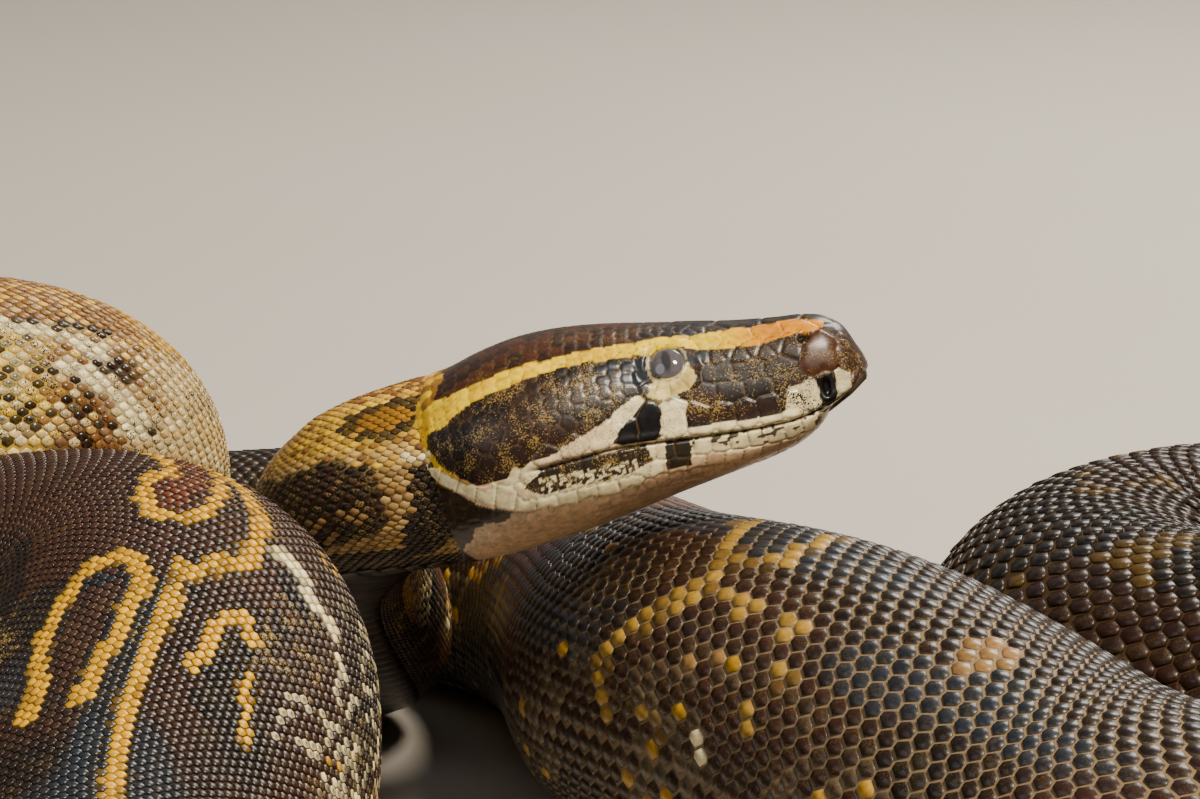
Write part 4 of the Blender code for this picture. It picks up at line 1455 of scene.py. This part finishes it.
def build_head_shields(settings):
    """The head's shields and small scales as one closed, dense relief, with lips, nostrils, pits and lids."""
    angles = head_columns()
    body_rings = HEAD_MESH_RINGS - SNOUT_MESH_RINGS + 1
    rings = np.r_[np.zeros(SNOUT_MESH_RINGS), np.linspace(0, SHELL_END, body_rings)]
    swell = np.r_[np.sin(np.linspace(0, pi / 2, SNOUT_MESH_RINGS + 1))[:-1], np.ones(body_rings)]
    seeds = head_seeds()
    middles = head_section(seeds[:, 0], seeds[:, 1])

    def place(i, j):
        behind, t = rings[i], angles[j]
        within = np.minimum(behind, HEAD_LENGTH)
        local = smooth_head(behind, t, swell[i])
        middle = np.stack([np.minimum(local[:, 0], HEAD_LENGTH - 6), 0 * t, mouth(within)], -1)
        out = unit(local - middle)
        nearest, border = relief(local, seeds)
        edge, height = seeds[nearest, 3], seeds[nearest, 4]
        dome = np.sqrt(clamp(1 - (1 - clamp(border / edge)) ** 2))
        from_lips = local[:, 2] - mouth(within)
        nostril = opening(within, local, NOSTRIL)
        pit = opening(within, local, HEAT_PIT)
        lift = height * dome * (1 - 0.6 * ramp(-from_lips, 7, 12)) - RELIEF_SINK
        lift += shape_lift(within, local) - 2.0 * nostril - 1.1 * pit
        local = round_eyes(local + out * lift[:, None])
        # the hidden end sinks under the neck's first scales
        sink = ramp(behind, HEAD_LENGTH - 1.5, SHELL_END)
        inner = np.stack([local[:, 0], 0 * t, mouth(within)], -1)
        local = local + (inner - local) * (0.10 * sink + 0.9 * (i == HEAD_MESH_RINGS))[:, None]

        dice = lattice_random(seeds[nearest, 2], 3, 41)
        smoothness = 1 - 0.6 * ramp(mouth(within) - local[:, 2], 7, 12)
        colour, fleck = head_colours(local, middles[nearest], border, dice, smoothness)
        # painted shade: the insides of the nostrils and heat pits are blackened
        colour = mix(colour, "black", clamp(1.2 * nostril + pit))
        # painted shade: a black line along the closed mouth's slit
        colour = mix(colour, "black", 0.8 * in_mouth(within) * np.exp(-(from_lips / 0.30) ** 2))
        around = on_map(i / HEAD_MESH_RINGS, j / HEAD_MESH_COLUMNS)
        return to_world(local), {"marking": colour, "fleck": fleck}, around

    mesh = wrapped_grid("head_shields", HEAD_MESH_RINGS, HEAD_MESH_COLUMNS, place)
    mesh.materials.append(scale_material(settings, "beta_keratin_shield", 0.33))
    finished("head_shields", mesh)


# ---------------------------------------------------------------- the eyes

def build_eyes():
    """Two round eyes, mostly sunk behind their rims."""
    material = eye_material()
    for mirror, place in ((1, "left"), (-1, "right")):
        axis = Vector((EYE_AXIS[0], EYE_AXIS[1] * mirror, EYE_AXIS[2])).normalized()
        build = bmesh.new()
        bmesh.ops.create_uvsphere(build, u_segments=48, v_segments=32, radius=EYE_RADIUS * MM)
        local = np.array([v.co for v in build.verts]) / (EYE_RADIUS * MM)
        turn = axis.to_track_quat("Z", "Y").to_matrix().to_4x4()
        seat = Matrix.Translation(Vector((EYE_CENTRE[0], EYE_CENTRE[1] * mirror, EYE_CENTRE[2])) * MM)
        bmesh.ops.transform(build, matrix=head_matrix() @ seat @ turn, verts=build.verts)
        mesh = bpy.data.meshes.new("eye_ball_" + place)
        build.to_mesh(mesh)
        build.free()
        layer = mesh.attributes.new("eye_place", "FLOAT_VECTOR", "POINT")
        layer.data.foreach_set("vector", local.astype(np.float32).ravel())
        mesh.materials.append(material)
        piece = finished(mesh.name, mesh)
        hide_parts("eye_" + place)


# ---------------------------------------------------------------- the stage

FLOOR_HALF = 6.0              # metres
LIGHTS_AIM = (0, 0, 0.06)     # metres
# Soft lights: name, place (m), width (m), power (W), colour
LIGHTS = (("key_light", (0.55, -0.55, 1.25), 0.35, 34, (1.0, 0.89, 0.73)),
          ("rim_light", (0.5, 1.1, 0.9), 0.7, 16, (1.0, 0.93, 0.84)),
          ("fill_light", (-1.2, -1.0, 0.7), 1.4, 7, (0.88, 0.93, 1.0)))
CAMERA_AIM_HEIGHT = 113.7     # mm


def aimed(name, data, place, target):
    """A lamp or camera at a place, looking at a target."""
    holder = bpy.data.objects.new(name, data)
    holder.location = place
    holder.rotation_mode = "QUATERNION"
    holder.rotation_quaternion = (target - holder.location).to_track_quat("-Z", "Y")
    bpy.context.scene.collection.objects.link(holder)
    return holder


def build_stage(settings):
    """A plain pale floor, soft studio lights, and the camera."""
    build = bmesh.new()
    bmesh.ops.create_grid(build, x_segments=1, y_segments=1, size=FLOOR_HALF)
    mesh = bpy.data.meshes.new("floor")
    build.to_mesh(mesh)
    build.free()
    floor = bpy.data.objects.new("floor", mesh)
    bpy.context.scene.collection.objects.link(floor)
    # painted plaster: matt, with faint clouds a third of a metre across
    material, tree, shader, place = new_material("painted_plaster_floor", 0.75, 0.2)
    tone = add(tree, "Mix", {"data_type": "RGBA"},
               {"Factor": grain(tree, place, 3.0), "A": rgba("floor"), "B": rgba("floor_light")})
    tree.links.new(tone.outputs["Result"], shader.inputs["Base Color"])
    mesh.materials.append(material)

    for name, spot, size, power, colour in LIGHTS:
        lamp = bpy.data.lights.new(name, "AREA")
        lamp.shape = "DISK"
        lamp.size = size
        lamp.energy = power
        lamp.color = colour
        aimed(name, lamp, spot, Vector(LIGHTS_AIM))
    world = bpy.data.worlds.new("studio")
    world.use_nodes = True
    world.node_tree.nodes["Background"].inputs["Color"].default_value = (0.84, 0.82, 0.79, 1.0)
    world.node_tree.nodes["Background"].inputs["Strength"].default_value = 0.22
    bpy.context.scene.world = world

    camera = bpy.data.cameras.new("camera")
    camera.lens = settings.lens
    camera.sensor_width = 36
    camera.clip_start = 0.02
    target = Vector((-PLAN_MIDDLE[0], -PLAN_MIDDLE[1], CAMERA_AIM_HEIGHT)) * MM
    down = settings.camera_down
    away = settings.camera_distance * Vector((0, -cos(down), sin(down)))
    bpy.context.scene.camera = aimed("camera", camera, target + away, target)


# ---------------------------------------------------------------- the add-on

class PythonSettings(bpy.types.PropertyGroup):
    """Sizes that a user would change."""

    coat_depth: FloatProperty(name="Coat depth", description="How far the skin lies under the solids",
                              default=0.0009, unit="LENGTH")
    scale_height: FloatProperty(name="Scale height", description="How far a body scale stands over the skin",
                                default=0.0008, unit="LENGTH")
    scale_cover: FloatProperty(name="Scale cover", description="Size of a scale over the size of its cell",
                               default=0.98, subtype="FACTOR")
    gloss: FloatProperty(name="Gloss", description="Clear gloss over the scales",
                         default=0.16, subtype="FACTOR")
    lens: FloatProperty(name="Lens", description="Focal length of the camera", default=148.5, unit="CAMERA")
    camera_down: FloatProperty(name="Camera tilt", description="Angle of the camera below the horizon",
                               default=radians(14.0), subtype="ANGLE")
    camera_distance: FloatProperty(name="Camera distance", description="Camera to the head", default=1.1,
                                   unit="LENGTH")


class PythonColours(bpy.types.PropertyGroup):
    """Colours that a user would change: one property for each pigment."""

    __annotations__ = {
        name: FloatVectorProperty(name=name.replace("_", " ").capitalize(), description=use,
                                  default=linear(value), size=3, min=0.0, max=1.0, subtype="COLOR")
        for name, (value, use) in PIGMENTS.items()
    }


def use_colours(colours):
    """Paint with the panel's colours from here on."""
    for name in PIGMENTS:
        INK[name] = np.array(getattr(colours, name))


class ROCKPYTHON_OT_stage(bpy.types.Operator):
    """Make the floor, the lights and the camera."""

    bl_idname = "rock_python.stage"
    bl_label = "Stage"

    def execute(self, context):
        use_colours(context.scene.rock_python_colours)
        build_stage(context.scene.rock_python)
        return {"FINISHED"}


class ROCKPYTHON_OT_skin(bpy.types.Operator):
    """Make the one skin under the scales."""

    bl_idname = "rock_python.skin"
    bl_label = "Skin"

    def execute(self, context):
        use_colours(context.scene.rock_python_colours)
        build_skin(context.scene.rock_python)
        return {"FINISHED"}


class ROCKPYTHON_OT_shields(bpy.types.Operator):
    """Make the head's shields, lips, nostrils and pits."""

    bl_idname = "rock_python.shields"
    bl_label = "Head shields"

    def execute(self, context):
        use_colours(context.scene.rock_python_colours)
        build_head_shields(context.scene.rock_python)
        return {"FINISHED"}


class ROCKPYTHON_OT_eyes(bpy.types.Operator):
    """Make both eyes."""

    bl_idname = "rock_python.eyes"
    bl_label = "Eyes"

    def execute(self, context):
        use_colours(context.scene.rock_python_colours)
        build_eyes()
        return {"FINISHED"}


class ROCKPYTHON_OT_scales(bpy.types.Operator):
    """Make the scales of the back and the flanks."""

    bl_idname = "rock_python.scales"
    bl_label = "Scales"

    def execute(self, context):
        use_colours(context.scene.rock_python_colours)
        build_scales(context.scene.rock_python)
        return {"FINISHED"}


class ROCKPYTHON_OT_belly(bpy.types.Operator):
    """Make the wide plates of the belly."""

    bl_idname = "rock_python.belly"
    bl_label = "Belly plates"

    def execute(self, context):
        use_colours(context.scene.rock_python_colours)
        build_ventrals(context.scene.rock_python)
        return {"FINISHED"}


class ROCKPYTHON_PT_panel(bpy.types.Panel):
    """Lists the snake's pieces."""

    bl_label = "Rock python"
    bl_space_type = "VIEW_3D"
    bl_region_type = "UI"
    bl_category = "Python"

    def draw(self, context):
        for kind in OPERATORS:
            self.layout.operator(kind.bl_idname)
        for group in (context.scene.rock_python, context.scene.rock_python_colours):
            for key in type(group).__annotations__:
                self.layout.prop(group, key)


OPERATORS = (ROCKPYTHON_OT_stage, ROCKPYTHON_OT_skin, ROCKPYTHON_OT_shields, ROCKPYTHON_OT_eyes,
             ROCKPYTHON_OT_scales, ROCKPYTHON_OT_belly)
CLASSES = (PythonSettings, PythonColours, *OPERATORS, ROCKPYTHON_PT_panel)


def register():
    """Add the classes and the scene's settings."""
    for kind in CLASSES:
        bpy.utils.register_class(kind)
    bpy.types.Scene.rock_python = PointerProperty(type=PythonSettings)
    bpy.types.Scene.rock_python_colours = PointerProperty(type=PythonColours)


def unregister():
    """Take them out again."""
    del bpy.types.Scene.rock_python
    del bpy.types.Scene.rock_python_colours
    for kind in reversed(CLASSES):
        bpy.utils.unregister_class(kind)


def main():
    """Build every piece."""
    register()
    bpy.ops.rock_python.stage()
    bpy.ops.rock_python.skin()
    bpy.ops.rock_python.shields()
    bpy.ops.rock_python.eyes()
    bpy.ops.rock_python.scales()
    bpy.ops.rock_python.belly()


if __name__ == "__main__":
    main()
